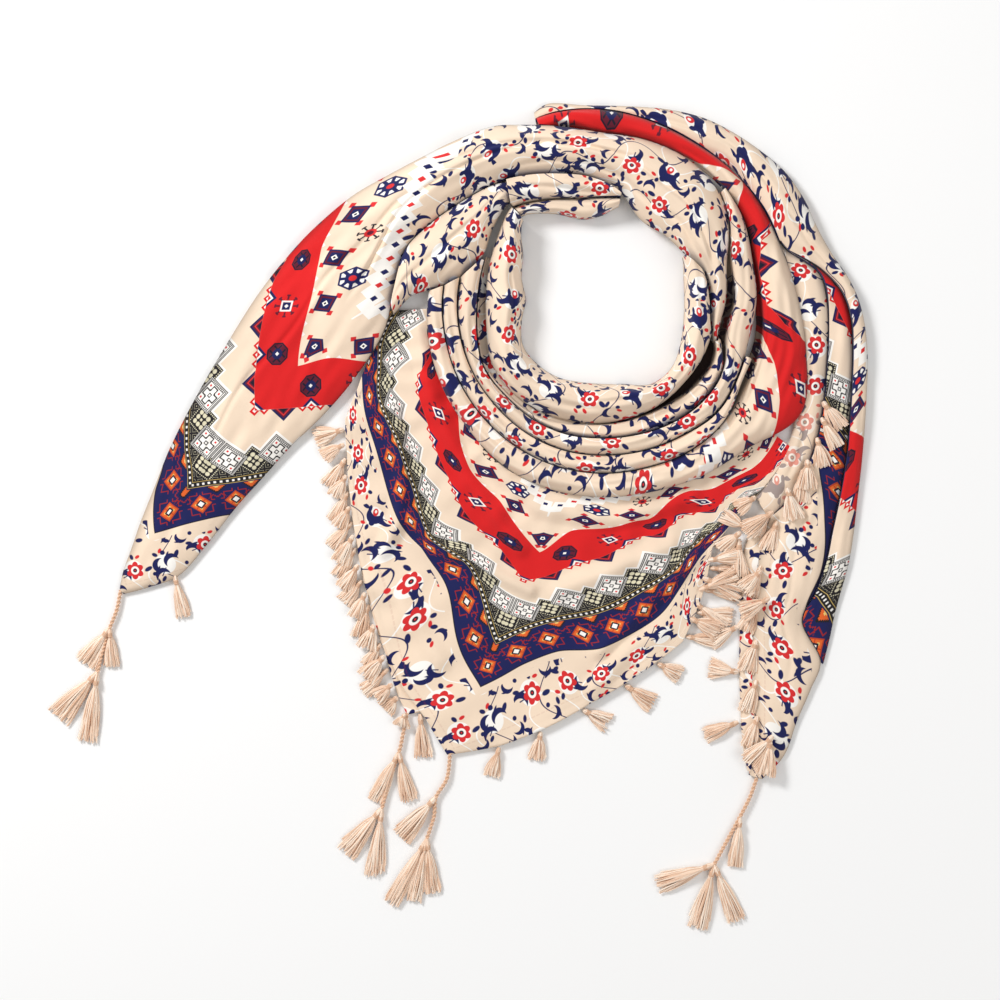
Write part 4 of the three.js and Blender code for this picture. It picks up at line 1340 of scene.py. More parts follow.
# Pale curved lines and thin navy stems under everything
wave = (along * (2 * math.pi / LOOP_WAVE)).run("SINE")
loop = length(repeat(across + wave * LOOP_SWAY, LOOP_CELL[0]), repeat(along, LOOP_CELL[1]))
stem_wave = (along * (2 * math.pi / STEM_WAVE)).run("SINE")
stem = within(repeat(stem_wave * STEM_SWAY + across, STEM_PITCH), 0, LINE)

# Flowers, each in a white glow with two swallow-shaped leaves and a few dots
leaves = either(
    swallow(x - 8.2, y, 0.5),
    drop(x, y, (-7.8, 3.4), 2.6, 1.3),
    drop(y, x, (-8.4, -2.0), 1.8, 1.2),
    both(within(y, 0.6, 0.33), below(abs(x - 6.0), 3.0)),
)
printed = overprint(
    "cream",
    ("white", within(loop, LOOP_RADIUS, LINE)),
    ("navy", stem),
    ("white", below(length(x - 1.0, y + 0.6), 6.4)),
    ("navy", leaves),
    ("flower", drop(x, y, (-5.6, -6.6), 1.7, 1.0)),
)
bloom = overprint(
    printed,
    ("flower", below(r, rim)),
    ("white", below(r, 2.55)),
    ("night", below(r, 1.3)),
    ("flower", below(r, 0.5)),
)

# In some cells a navy bell with a red heart stands instead, or a spray of leaves
bell_shape = either(
    leaf(x, y, (0, 0.2), 5.6, (0, 4.6), 4.2),
    drop(x, y, (4.4, 3.2), 1.3, 2.4),
    drop(x, y, (-4.4, 3.2), 1.3, 2.4),
    below(length(x, y + 5.0), 1.9),
)
bell = overprint(
    printed,
    ("white", below(length(x, y - 2.0), 4.2)),
    ("navy", bell_shape),
    ("flower", drop(y, x, (2.6, 0), 2.6, 1.9)),
    ("white", drop(y, x, (3.1, 0), 1.1, 0.8)),
)
spray = either(
    swallow(x + 2.5, y, 2.0),
    swallow(x - 3.0, y + 1.0, -2.2, -1),
    below(length(x + 5.2, y + 4.6), 1.5),
)
leafy = paint(printed, "navy", spray)

# A second, finer scatter of leaves and dots fills what lies between
half_cell = CELL_WIDE / 2
moved_in, moved_on = across + half_cell, along + half_cell
x, y, other, second = cell_frame(flowers, moved_in, moved_on, CELL_WIDE, seed=9.0, stray=2.0)
little = either(
    swallow(x * 1.25, y * 1.25, 0.0),
    below(length(x - 5.4, y - 2.4), 1.25),
    drop(x, y, (4.8, -4.0), 2.0, 1.1),
)
motif = overprint(
    bloom,
    (bell, first.run("GREATER_THAN", BELL_FROM)),
    (leafy, first.run("LESS_THAN", LEAFY_TO)),
    ("navy", both(little, second.run("GREATER_THAN", LITTLE_FROM))),
    ("flower", both(drop(y, x, (4.4, 3.6), 1.6, 0.9), other.run("GREATER_THAN", DOT_FROM))),
)
flowers.links.new(motif, end.inputs["Color"])
print("flowers:", len(flowers.nodes), "nodes")

# %% [markdown]
# ## Woven motifs of the bands
# Stars, diamonds, suns and squares are drawn in steps, like a knotted rug. They all use the
# sum or the larger of the two distances from their middle, which draw diamonds and squares.

# %% Where each band begins, in mm from the hem, and how far apart its motifs are
FLOWERS_END = 26.5  # plain cloth from here to the navy band
NAVY_IN, LATTICE_IN, RED_OUT, PALE_IN = 31.0, 54.0, 96.0, 122.0
STAR_PITCH, STAR_MIDDLE = 20.5, 42.0
DOT_PITCH, LATTICE_PITCH, LATTICE_MIDDLE = 3.4, 27.2, 70.0
RED_MIDDLE, RED_PITCH, RED_FIRST = 108.5, 29.0, 130.0
EDGE_PITCH = 17.0
SQUARE_MIDDLE, SQUARE_PITCH, SPIDER_MIDDLE = 131.0, 28.0, 142.0
POINTS_END, DOTS_MIDDLE, DOTS_END = 53.4, 56.1, 58.4
ZIGZAG_PITCH, WHITE_IN, LOZENGE_MIDDLE, FIELD_IN = 8.0, 151.0, 154.2, 159.2
TURNED = math.sqrt(0.5)  # turns the distance along a diamond into one along its sides
bands, wires, end = group("bands", {"In": FLOAT, "Along": FLOAT}, {"Color": COLOR, "Field": FLOAT})
depth, along = wires["In"], wires["Along"]


def eighth(x, y):
    """The distance from the middle, and that to the nearest of eight spokes."""
    far = length(x, y)
    turn = y.run("ARCTAN2", x).run("WRAP", math.pi / 8, -math.pi / 8)
    return far, abs(turn * far)


# %% Navy band with stars
x = repeat(along, STAR_PITCH)
y = depth - STAR_MIDDLE
ax, ay = abs(x), abs(y)
diamond = ax + ay
outermost, innermost = larger(ax, ay), smaller(ax, ay)
lobes = stepped(abs(outermost - 3.1) + innermost, 0.9)
frame_line = both(within(outermost, 6.6, 0.3), above(innermost, 1.6))
half = stepped(repeat(along, STAR_PITCH, STAR_PITCH / 2), 0.9)
point = abs(half) + (depth * -1.1).times_plus(1, 1.1 * LATTICE_IN)
hook = abs(abs(half) - 2.4) * 0.9 + depth
star = overprint(
    "navy",
    ("rust", both(frame_line, below(innermost, 6.8))),
    ("rust", both(within(innermost, 1.8, 0.3), within(outermost, 7.6, 1.0))),
    ("rust", below(lobes, 3.9)),
    ("orange", below(lobes, 3.1)),
    ("yellow", below(lobes, 1.2)),
    ("night", below(diamond, 3.4)),
    ("white", below(diamond, 2.1)),
    ("black", both(below(point, 6.6), below(depth, POINTS_END))),
    ("orange", both(below(point, 5.2), below(depth, POINTS_END))),
    ("yellow", both(below(point, 2.4), below(depth, POINTS_END))),
    ("rust", both(within(hook, 47.4, 0.4), below(abs(half), 4.9))),
)

# %% Lattice of dark diamonds and pale tiles, with a row of dots at its outer edge
fine_x, fine_y = abs(repeat(along, 4.5)), abs(repeat(depth, 4.5, 0.6))
checks = either(within(larger(fine_x, fine_y), 1.5, 0.06), below(fine_x + fine_y, 0.45)) * 0.8
x = repeat(along, LATTICE_PITCH)
ax, ay = abs(x), abs(depth - LATTICE_MIDDLE)
pale = ax + ay
dark_x = abs(repeat(along, LATTICE_PITCH, LATTICE_PITCH / 2))
dark_y = abs(depth - (LATTICE_MIDDLE - 3.4))
dark = dark_x + dark_y
ground = below(abs(repeat(along, LATTICE_PITCH / 2)) * 0.9 + depth, 73.5)
side_on, side_off = dark * TURNED, abs(dark_x - dark_y) * TURNED
rosette = larger(side_on, side_off)
blobs = below(length(repeat(side_on, 3.1), repeat(side_off, 3.1)), 1.35)
side_on, side_off = pale * TURNED, abs(ax - ay) * TURNED
tile, tile_low = larger(side_on, side_off), smaller(side_on, side_off)
dashes = above(repeat(x - depth + LATTICE_MIDDLE, 1.7), 0.0)
dots = both(below(abs(repeat(along, DOT_PITCH)), 0.7), within(depth, DOTS_MIDDLE, 0.7))
lattice = overprint(
    "cream",
    ("white", either(below(pale, 13.2), below(dark, 11.4))),
    ("black", ground),
    ("straw", both(checks, ground, above(depth, 58.6))),
    ("black", below(dark, 9.9)),
    ("straw", both(within(dark, 8.6, 0.5), above(repeat(dark_x - dark_y, 1.8), 0.0))),
    ("straw", both(blobs, below(rosette, 4.65))),
    ("black", below(rosette, 1.5)),
    ("straw", below(rosette, 0.75)),
    ("black", below(pale, 11.2)),
    ("white", below(pale, 10.5)),
    ("black", either(within(pale, 9.9, 0.25), within(pale, 8.2, 0.3))),
    ("black", within(pale, 9.1, 0.6) * dashes),
    ("black", both(within(tile_low, 1.8, 0.38), within(tile, 3.4, 1.6))),
    ("black", both(within(tile, 4.9, 0.38), below(tile_low, 2.1))),
    ("black", both(within(tile, 2.3, 0.38), within(tile_low, 1.9, 0.5))),
    ("flower", both(within(tile, 4.0, 0.6), within(tile_low, 4.0, 0.6))),
    ("black", below(tile, 1.2)),
    ("white", below(tile, 0.6)),
    ("black", below(depth, DOTS_END)),
    ("white", dots),
    ("yellow", either(within(depth, 54.3, 0.12), within(depth, 57.9, 0.12))),
)

# %% Red band with octagons and suns
x = repeat(larger(along, RED_FIRST - 10), RED_PITCH, -RED_FIRST)
y = depth - RED_MIDDLE
ax, ay = abs(x), abs(y)
sun = odd(along, RED_PITCH, -RED_FIRST)
square = larger(ax, ay)
octagon = larger(square, (ax + ay) * 0.72)
far, beside = eighth(x, y)
rays = both(below(beside, 0.55), within(far, 5.3, 1.5))
tips = both(below(beside, 1.1), within(far, 6.6, 0.5))
spokes = within(abs(ax - ay), 2.6, 0.7)
red = overprint(
    "red",
    ("night", without(below(octagon, 6.6), sun)),
    ("maroon", without(below(octagon, 5.8), sun)),
    ("night", without(both(spokes, below(octagon, 5.2)), sun)),
    ("navy", without(below(octagon, 3.1), sun)),
    ("maroon", both(sun, either(rays, tips))),
    ("white", both(sun, below(square, 3.3), above(square, 2.3))),
    ("navy", below(square, 2.3)),
    ("white", below(ax + ay, 1.2)),
)

# %% Chevrons and small triangles on the red band's outer edge
x = repeat(along, EDGE_PITCH, EDGE_PITCH - RED_OUT)
small = abs(x)
past = depth.times_plus(-1, RED_OUT)
arrow = small + past
outer = above(past, 0.0)
second = odd(along, EDGE_PITCH, EDGE_PITCH - RED_OUT)
chevron = without(outer, second)
triple = abs(repeat(x, 5.4)) + past
three = both(outer, second, below(small, 8.1))
inward = small - past
notch = both(above(depth, RED_OUT), second)
red = overprint(
    red,
    ("navy", both(notch, below(inward, 5.6))),
    ("white", both(notch, below(inward, 3.4))),
    ("red", both(notch, below(inward, 2.0))),
)
edge = overprint(
    lattice,
    ("navy", both(chevron, below(arrow, 7.6))),
    ("maroon", both(chevron, below(arrow, 5.8))),
    ("flower", both(chevron, within(arrow, 4.0, 0.5))),
    ("night", both(chevron, below(arrow, 2.4))),
    ("red", both(three, below(triple, 2.9))),
    ("white", both(three, below(triple, 1.2))),
    (red, above(depth, RED_OUT)),
)

# %% Pale band with squares, hexagons and spiders
x = repeat(along, SQUARE_PITCH, -SQUARE_MIDDLE)
y = depth - SQUARE_MIDDLE
ax, ay = abs(x + y * 0.25), abs(y - x * 0.25)
square = larger(ax, ay)
tooth = abs(repeat(along, 7.0)) + (depth - PALE_IN)
pale = overprint(
    "cream",
    ("flower", both(within(ax, 5.6, 1.5), within(ay, 5.6, 1.5))),
    ("navy", below(square, 5.2)),
    ("maroon", within(square, 3.7, 0.5)),
    ("navy", below(ax + ay, 3.2)),
    ("white", below(ax + ay, 1.9)),
    ("night", below(ax + ay, 0.9)),
    ("white", both(below(tooth, 1.8), above(abs(x), 8.0))),
)
between = SQUARE_PITCH / 2 - SQUARE_MIDDLE
x = repeat(larger(along, SQUARE_MIDDLE + 0.9 * SQUARE_PITCH), SQUARE_PITCH, between)
y = depth - SPIDER_MIDDLE
ax, ay = abs(x), abs(y)
spider = odd(along, SQUARE_PITCH, between)
far, beside = eighth(x, y)
shanks = both(below(beside, 0.4), within(far, 3.4, 1.5))
feet = both(below(beside, 1.1), within(far, 5.0, 0.4))
hexagon = larger(ay, ax * 0.87 + ay * 0.5)
wedges = both(within(hexagon, 4.4, 1.0), above(beside, 0.9))
pale = overprint(
    pale,
    ("night", both(spider, either(shanks, feet))),
    ("flower", both(spider, below(far, 2.5))),
    ("maroon", both(spider, below(far, 1.3))),
    ("navy", without(below(hexagon, 6.4), spider)),
    ("white", without(wedges, spider)),
    ("flower", without(below(far, 1.7), spider)),
)

# %% Zigzag, then the bands in order
x = abs(repeat(along, ZIGZAG_PITCH))
tooth = x * 0.9 + depth
lozenge = below(x + abs(depth - LOZENGE_MIDDLE), 1.8)
second = odd(along, ZIGZAG_PITCH)
zigzag = overprint(
    pale,
    ("white", above(tooth, WHITE_IN)),
    ("navy", without(lozenge, second)),
    ("flower", both(lozenge, second)),
)
whole = overprint(
    "cream",
    (star, above(depth, NAVY_IN)),
    (edge, above(depth, LATTICE_IN)),
    (zigzag, above(depth, PALE_IN)),
    ("night", within(depth, NAVY_IN, 0.35)),
)
field = either(below(depth, FLOWERS_END), above(tooth, FIELD_IN))
bands.links.new(whole, end.inputs["Color"])
bands.links.new(field.socket, end.inputs["Field"])
print("bands:", len(bands.nodes), "nodes")

# %% [markdown]
# ## The cloth itself
# The print lies on a thin crepe weave. The weave is a bump of fine crossed waves, the hem is
# a stitched fold 4 mm wide, and the side that lies down shows the print through the cloth,
# much paler. Creases and deep hollows get painted shade, darker than the light alone makes them.

# %% Pieces of a material
def material(name, **settings):
    """A new material, its tree and its shader, with constants on the shader's own sockets."""
    made = bpy.data.materials.new(name)
    made.use_nodes = True
    shader = made.node_tree.nodes["Principled BSDF"]
    for title, setting in settings.items():
        shader.inputs[title.replace("_", " ")].default_value = setting
    return made, made.node_tree, shader


def noise(tree, vector, scale, detail):
    """A cloudy value from 0 to 1, at so many clouds a metre."""
    node = tree.nodes.new("ShaderNodeTexNoise")
    node.inputs["Scale"].default_value = scale
    node.inputs["Detail"].default_value = detail
    tree.links.new(vector, node.inputs["Vector"])
    return Wire(tree, node.outputs[0])


def attribute(tree, name):
    """A value that the mesh carries."""
    node = tree.nodes.new("ShaderNodeAttribute")
    node.attribute_name = name
    return Wire(tree, node.outputs["Fac"])


def dent(tree, shader, height, strength, distance):
    """Tilts the shader's normal by a height; the distance is in metres."""
    node = tree.nodes.new("ShaderNodeBump")
    node.inputs["Strength"].default_value = strength
    node.inputs["Distance"].default_value = distance
    tree.links.new(height, node.inputs["Height"])
    tree.links.new(node.outputs[0], shader.inputs["Normal"])


def flat_in_mm(tree, vector):
    """The two distances of the flat cloth, from metres to mm."""
    split = tree.nodes.new("ShaderNodeSeparateXYZ")
    tree.links.new(vector, split.inputs[0])
    return [Wire(tree, split.outputs[i]) * (1 / MM) for i in range(2)]


# %% Weave bump and small unevenness
THREAD = 0.55  # mm from thread to thread
weave, wires, end = group("crepe_weave", {"Flat": VECTOR}, {"Height": FLOAT, "Uneven": FLOAT})
flat_place = wires["Flat"].socket
warp, weft = [(one * (2 * math.pi / THREAD)).run("SINE") for one in flat_in_mm(weave, flat_place)]
height = warp * weft * 0.5 + noise(weave, flat_place, 420.0, 3.0)
weave.links.new(height.socket, end.inputs["Height"])
weave.links.new(noise(weave, flat_place, 26.0, 4.0).socket, end.inputs["Uneven"])

# %% Printed cloth
HEM_STITCH, HEM_SHADE = 4.0, 0.12  # mm from the edge, and how dark it is
PALE = 0.55  # how far the print fades on the underside
UNEVEN, EVEN = 0.30, 0.87  # how much the tone changes, and the least of it
cloth, tree, shader = material(
    "printed_cloth", Roughness=0.82, Sheen_Weight=0.15, Sheen_Roughness=0.45, Specular_IOR_Level=0.25
)
flat_map = tree.nodes.new("ShaderNodeUVMap")
flat_map.uv_map = "flat"
u, v = flat_in_mm(tree, flat_map.outputs[0])
depth, along = smaller(u, v), larger(u, v)
blooms = use(tree, flowers, Across=u, Along=v)
border = use(tree, bands, In=depth, Along=along)
thread = use(tree, weave, Flat=flat_map.outputs[0])
stitch = both(within(depth, HEM_STITCH, 0.35), above(repeat(along, 3.2), -0.9))
pattern = overprint(
    border.outputs["Color"],
    (blooms.outputs["Color"], Wire(tree, border.outputs["Field"])),
    ("rust", stitch * HEM_SHADE),
    # painted shade: the shade ink laid into the hollows and along the creases
    ("shade", attribute(tree, "painted_shade")),
    ("cream", attribute(tree, "reverse") * PALE),
)
tone = tree.nodes.new("ShaderNodeVectorMath")
tone.operation = "SCALE"
tree.links.new(pattern, tone.inputs[0])
uneven = Wire(tree, thread.outputs["Uneven"]).times_plus(UNEVEN, EVEN)
tree.links.new(uneven.socket, tone.inputs["Scale"])
tree.links.new(tone.outputs[0], shader.inputs["Base Color"])
dent(tree, shader, thread.outputs["Height"], 0.35, 0.0002)
print("cloth material:", len(tree.nodes), "nodes")

for name, piece in pieces.items():
    piece.data.materials.clear()
    piece.data.materials.append(cloth)
    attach(piece, "root")
    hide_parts(name)

# %% [markdown]
# Each stretch is part of one square scarf, cut 1.1 m each way. A table lists the flat
# width and length of what shows of each stretch, and what it lies on. The frame is told
# the flat width and length of what shows of it, and checks them against the cloth's own
# area.

# %% Flat sizes of what shows of each stretch, in mm
FLAT_SIZES = {  # name: width, length, what it lies on
    "tail_band": (52.5, 558, []),
    "cross_fold": (38.5, 99, ["cloth_tail_band"]),
    "neck_fold_1": (32.0, 274, ["cloth_neck_fold_2"]),
    "back_fold_1": (18.5, 60, ["cloth_back_fold_2"]),
    "back_fold_2": (29.0, 72, ["cloth_collar_band"]),
    "neck_fold_2": (18.0, 239, ["cloth_neck_fold_3"]),
    "neck_fold_3": (24.0, 358, ["cloth_neck_fold_4"]),
    "neck_fold_4": (20.0, 289, ["cloth_collar_band"]),
    "collar_band": (24.5, 569, ["cloth_front_panel"]),
    "inner_wrap": (17.5, 173, ["cloth_right_tail"]),
    "right_tail": (25.5, 333, ["cloth_right_under"]),
    "outer_wrap": (18.5, 458, ["cloth_right_tail"]),
    "front_panel": (264, 264, ["cloth_under_panel"]),
    "under_panel": (232, 232, []),
    "right_under": (11.5, 149, []),
}
for name, (width, length_mm, below_it) in FLAT_SIZES.items():
    width * MM
print(len(FLAT_SIZES), "sheets declared")

# %% [markdown]
# # Tassels
# Along the hems hang small tassels of soft cotton yarn, and at each corner a cord carries a
# cluster of larger ones. Hair or a particle system could make the yarns, but neither exports
# as plain meshes. Geometry Nodes can: one line is set on many points, and every yarn then
# gets its own spread, height and length from random numbers with a fixed seed.

# %% Yarn finish
yarn, tree, shader = material("tassel_yarn", Roughness=0.9, Specular_IOR_Level=0.2, Sheen_Weight=0.2)
ramp = tree.nodes.new("ShaderNodeValToRGB")
ramp.color_ramp.elements[0].color = ink(226, 186, 156)
ramp.color_ramp.elements[1].color = ink(255, 240, 224)
ramp.color_ramp.elements.new(0.5).color = ink(249, 220, 196)
tree.links.new(attribute(tree, "tint").socket, ramp.inputs[0])
tree.links.new(ramp.outputs[0], shader.inputs["Base Color"])
place_map = tree.nodes.new("ShaderNodeTexCoord")
fuzz = noise(tree, place_map.outputs["Object"], 2600.0, 2.0)
dent(tree, shader, fuzz.socket, 0.5, 0.0003)

# %% The tassel's tree: a bundle that lies along +X with its head at the origin
tassel_tree = bpy.data.node_groups.new("yarn_tassel", "GeometryNodeTree")
tassel_sizes = {
    "Yarns": ("NodeSocketInt", 64),
    "Points": ("NodeSocketInt", 9),
    "Length": (FLOAT, 0.018),
    "Width": (FLOAT, 0.008),
    "Height": (FLOAT, 0.0034),
    "Yarn radius": (FLOAT, 0.0004),
    "Seed": ("NodeSocketInt", 1),
}
tassel_tree.interface.new_socket("Geometry", in_out="INPUT", socket_type="NodeSocketGeometry")
sockets = {}
for title, (kind, start_value) in tassel_sizes.items():
    socket = tassel_tree.interface.new_socket(title, in_out="INPUT", socket_type=kind)
    socket.default_value = start_value
    sockets[title] = socket.identifier
tassel_tree.interface.new_socket("Geometry", in_out="OUTPUT", socket_type="NodeSocketGeometry")
start = tassel_tree.nodes.new("NodeGroupInput")
end = tassel_tree.nodes.new("NodeGroupOutput")


def put(kind, links=(), **values):
    """A node of the tassel's tree, with its inputs linked by name."""
    node = tassel_tree.nodes.new(kind)
    for name, setting in values.items():
        setattr(node, name, setting)
    for slot, source in dict(links).items():
        if isinstance(source, Wire):
            source = source.socket
        if isinstance(source, bpy.types.NodeSocket):
            tassel_tree.links.new(source, node.inputs[slot])
        else:
            node.inputs[slot].default_value = source
    return node


def chance(seed_shift, yarn_number, low, high):
    """A random number for each yarn."""
    seed = Wire(tassel_tree, start.outputs["Seed"]) + seed_shift
    node = put("FunctionNodeRandomValue", {"ID": yarn_number, "Seed": seed}, data_type="FLOAT")
    floats = [socket for socket in node.inputs if socket.type == "VALUE"]
    floats[0].default_value, floats[1].default_value = low, high
    return Wire(tassel_tree, node.outputs[1])


def profile(t, stations):
    """A smooth value through a few stations along the yarn."""
    node = put("ShaderNodeFloatCurve", {"Value": t})
    curve = node.mapping.curves[0]
    curve.points[0].location = stations[0]
    curve.points[1].location = stations[-1]
    for station in stations[1:-1]:
        curve.points.new(*station)
    node.mapping.update()
    return Wire(tassel_tree, node.outputs[0])


SWAY, SWAY_WAVE = 0.00045, 6.0  # metres that a yarn strays at its end, and radians of its wave
DOME = 0.8  # how much lower the outermost yarns lie
NECK_AT, NECK_WIDE, NECK_HIGH = 0.12, 0.085, 0.36  # the binding: shares of length, width, height
NECK_LONG, NECK_MORE = 6.5, 0.0004  # its length in yarn radii, and metres that it is wider
one_line = put("GeometryNodeCurvePrimitiveLine", {"End": (1.0, 0.0, 0.0)})
fine_line = put(
    "GeometryNodeResampleCurve",
    {"Curve": one_line.outputs[0], "Count": start.outputs["Points"]},
)
seeds = put("GeometryNodePoints", {"Count": start.outputs["Yarns"]})
copies = put("GeometryNodeInstanceOnPoints", {"Points": seeds.outputs[0], "Instance": fine_line.outputs[0]})
yarns = put("GeometryNodeRealizeInstances", {"Geometry": copies.outputs[0]})
index = Wire(tassel_tree, put("GeometryNodeInputIndex").outputs[0])
number = index.run("DIVIDE", Wire(tassel_tree, start.outputs["Points"])).run("FLOOR")
t = Wire(tassel_tree, put("GeometryNodeSplineParameter").outputs["Factor"])
spread = chance(1, number, -1.0, 1.0)
level = chance(2, number, 0.0, 1.0)
short = chance(3, number, 0.80, 1.0)
phase = chance(4, number, 0.0, 6.3)
wide = profile(t, [(0, 0.12), (0.08, 0.34), (0.17, 0.15), (0.45, 0.56), (1, 1)])
tall = profile(t, [(0, 0.3), (0.08, 1.0), (0.17, 0.55), (0.45, 0.85), (1, 0.22)])
sway = (t * SWAY_WAVE + phase).run("SINE") * t * SWAY
measures = ("Length", "Width", "Height", "Yarn radius")
size = {title: Wire(tassel_tree, start.outputs[title]) for title in measures}
px = size["Length"] * t * short
py = size["Width"] * 0.5 * spread * wide + sway
dome = (spread * spread * -DOME).times_plus(1.0, 1.0)
pz = size["Height"] * level * tall * dome + size["Yarn radius"]
spot = put("ShaderNodeCombineXYZ", {"X": px, "Y": py, "Z": pz})
moved = put("GeometryNodeSetPosition", {"Geometry": yarns.outputs[0], "Position": spot.outputs[0]})
tinted = put(
    "GeometryNodeStoreNamedAttribute",
    {"Geometry": moved.outputs[0], "Name": "tint", "Value": chance(5, number, 0.0, 1.0)},
    data_type="FLOAT",
    domain="POINT",
)
ring = put("GeometryNodeCurvePrimitiveCircle", {"Resolution": 4, "Radius": start.outputs["Yarn radius"]})


def thick(curve):
    """A curve as a closed four-sided thread."""
    sockets_in = {"Curve": curve.outputs[0], "Profile Curve": ring.outputs[0], "Fill Caps": True}
    return put("GeometryNodeCurveToMesh", sockets_in)


bundle = thick(tinted)

# The binding: a short spiral of the same yarn round the neck of the bundle
spiral = put(
    "GeometryNodeCurveSpiral",
    {"Resolution": 10, "Rotations": 4.0, "Start Radius": 1.0, "End Radius": 1.0, "Height": 1.0},
)
stood = put("GeometryNodeTransform", {"Geometry": spiral.outputs[0], "Rotation": (0.0, math.pi / 2, 0.0)})
fit = put(
    "ShaderNodeCombineXYZ",
    {
        "X": size["Yarn radius"] * NECK_LONG,
        "Y": size["Width"] * NECK_WIDE + NECK_MORE,
        "Z": size["Height"] * NECK_HIGH,
    },
)
shift = put(
    "ShaderNodeCombineXYZ",
    {"X": size["Length"] * NECK_AT, "Y": 0.0, "Z": size["Height"] * NECK_HIGH + size["Yarn radius"]},
)
fitted = put(
    "GeometryNodeTransform",
    {"Geometry": stood.outputs[0], "Scale": fit.outputs[0], "Translation": shift.outputs[0]},
)
binding = thick(fitted)
both_parts = put("GeometryNodeJoinGeometry")
for part in (bundle, binding):
    tassel_tree.links.new(part.outputs[0], both_parts.inputs[0])
whole = put("GeometryNodeRealizeInstances", {"Geometry": both_parts.outputs[0]})
soft = put("GeometryNodeSetShadeSmooth", {"Geometry": whole.outputs[0]})
dressed = put("GeometryNodeSetMaterial", {"Geometry": soft.outputs[0], "Material": yarn})
tassel_tree.links.new(dressed.outputs[0], end.inputs[0])
print("tassel tree:", len(tassel_tree.nodes), "nodes")


# %% One tassel as a plain mesh
def tassel_mesh(**sizes):
    """The tree's result for these sizes, as a new mesh."""
    maker = add("maker", bpy.data.meshes.new("blank"))
    nodes = maker.modifiers.new("yarn", "NODES")
    nodes.node_group = tassel_tree
    for title, amount in sizes.items():
        nodes[sockets[title.replace("_", " ")]] = amount
    shape = maker.evaluated_get(bpy.context.evaluated_depsgraph_get())
    mesh = bpy.data.meshes.new_from_object(shape)
    bpy.data.objects.remove(maker)
    return mesh


def lay(bm, mesh, root, tip, lift):
    """Puts a tassel into a bmesh, from its root towards its tip, at a height in mm."""
    run = tip - root
    turn = math.atan2(run[1], run[0])
    cosine, sine = math.cos(turn), math.sin(turn)
    spots = np.zeros(len(mesh.vertices) * 3)
    mesh.vertices.foreach_get("co", spots)
    x, y, z = spots.reshape(-1, 3).T
    moved = np.stack([
        root[0] * MM + x * cosine - y * sine,
        root[1] * MM + x * sine + y * cosine,
        z + lift * MM,
    ], axis=-1)
    mesh.vertices.foreach_set("co", moved.ravel())
    bm.from_mesh(mesh)
    bpy.data.meshes.remove(mesh)


def yarn_piece(name, bm, nodes):
    """A bmesh of tassels as one piece that stands for these nodes of the solid model."""
    mesh = bpy.data.meshes.new(name)
    bm.to_mesh(mesh)
    bm.free()
    mesh.materials.clear()
    mesh.materials.append(yarn)
    piece = add(name, mesh)
    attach(piece, "root")
    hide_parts(*nodes)
    print(name, len(mesh.polygons), "faces")


# %% Laying a tassel from its root to its tip
FLOOR_CLEAR = 0.4  # mm, yarn lies just above the surface
ROOT_PAST = 1.2  # mm that a tassel's head stands past the hem
HEM_WIDTH = 10.0  # mm, a hem tassel's spread at its ends
REACH = 1.16  # yarns run this much past the middle of their ends


def tassel(bm, root, tip, lift, width, seed, reach=REACH, **sizes):
    """Adds a tassel to a bmesh; places, lift and width are in mm."""
    long = float(np.linalg.norm(tip - root)) * reach
    mesh = tassel_mesh(Length=long * MM, Width=width * MM, Seed=seed, **sizes)
    lay(bm, mesh, root, tip, lift + FLOOR_CLEAR)


def hem_root(x, y):
    """The place just past the front corner's hems, in line with a pixel."""
    arm = place(x, y) - NECK_PLACE
    turn = math.degrees(math.atan2(arm[1], arm[0])) % 360
    return polar(turn, max(hem(FRONT_HEM, turn), hem(UNDER_HEM, turn)) + ROOT_PAST)


# %% Tassels on the front hems
FRINGE_LIFT, FRINGE_STRAY = 2.2, 2.5  # mm, for those in between, which lie on the others
rng = np.random.default_rng(5)
bm = bmesh.new()
for number, (x, y, to_x, to_y) in enumerate(FRONT_TASSELS):
    width = HEM_WIDTH + rng.uniform(-1.0, 2.5)
    tassel(bm, hem_root(x, y), place(to_x, to_y), 0, width, 100 + number)
for number in range(FRINGE_ROWS - 1):
    x, y, to_x, to_y = np.mean(FRONT_TASSELS[number:number + 2], axis=0)
    tip = place(to_x, to_y) + rng.uniform(-FRINGE_STRAY, FRINGE_STRAY, 2)
    width = HEM_WIDTH + rng.uniform(0, 3)
    tassel(bm, hem_root(x, y), tip, FRINGE_LIFT, width, 400 + number, reach=1)
yarn_piece("front_hem_tassels", bm, [f"front_tassel_{i + 1}" for i in range(len(FRONT_TASSELS))])

# %% Tassels along the right tail
bm = bmesh.new()
for number, (x, y, to_x, to_y, lift) in enumerate(RIGHT_TASSELS + MORE_TASSELS):
    width = HEM_WIDTH + rng.uniform(-0.5, 3.0)
    tassel(bm, place(x, y), place(to_x, to_y), lift, width, 200 + number)
yarn_piece("right_hem_tassels", bm, [f"right_tassel_{i + 1}" for i in range(len(RIGHT_TASSELS))])

# %% [markdown]
# The corner cords are twisted from two plies. A path with a round bevel would be a plain
# tube, so two thin tubes are wound round the cord's own line, half a turn apart.

# %% Twisted cord
PLY_TURN = 5.0  # mm of cord for one turn of its plies
PLY_RADIUS, CORD_RADIUS = 0.75, 1.3  # mm
PLY_SIDES = 6
PLY_STEP = 0.6  # mm from ring to ring


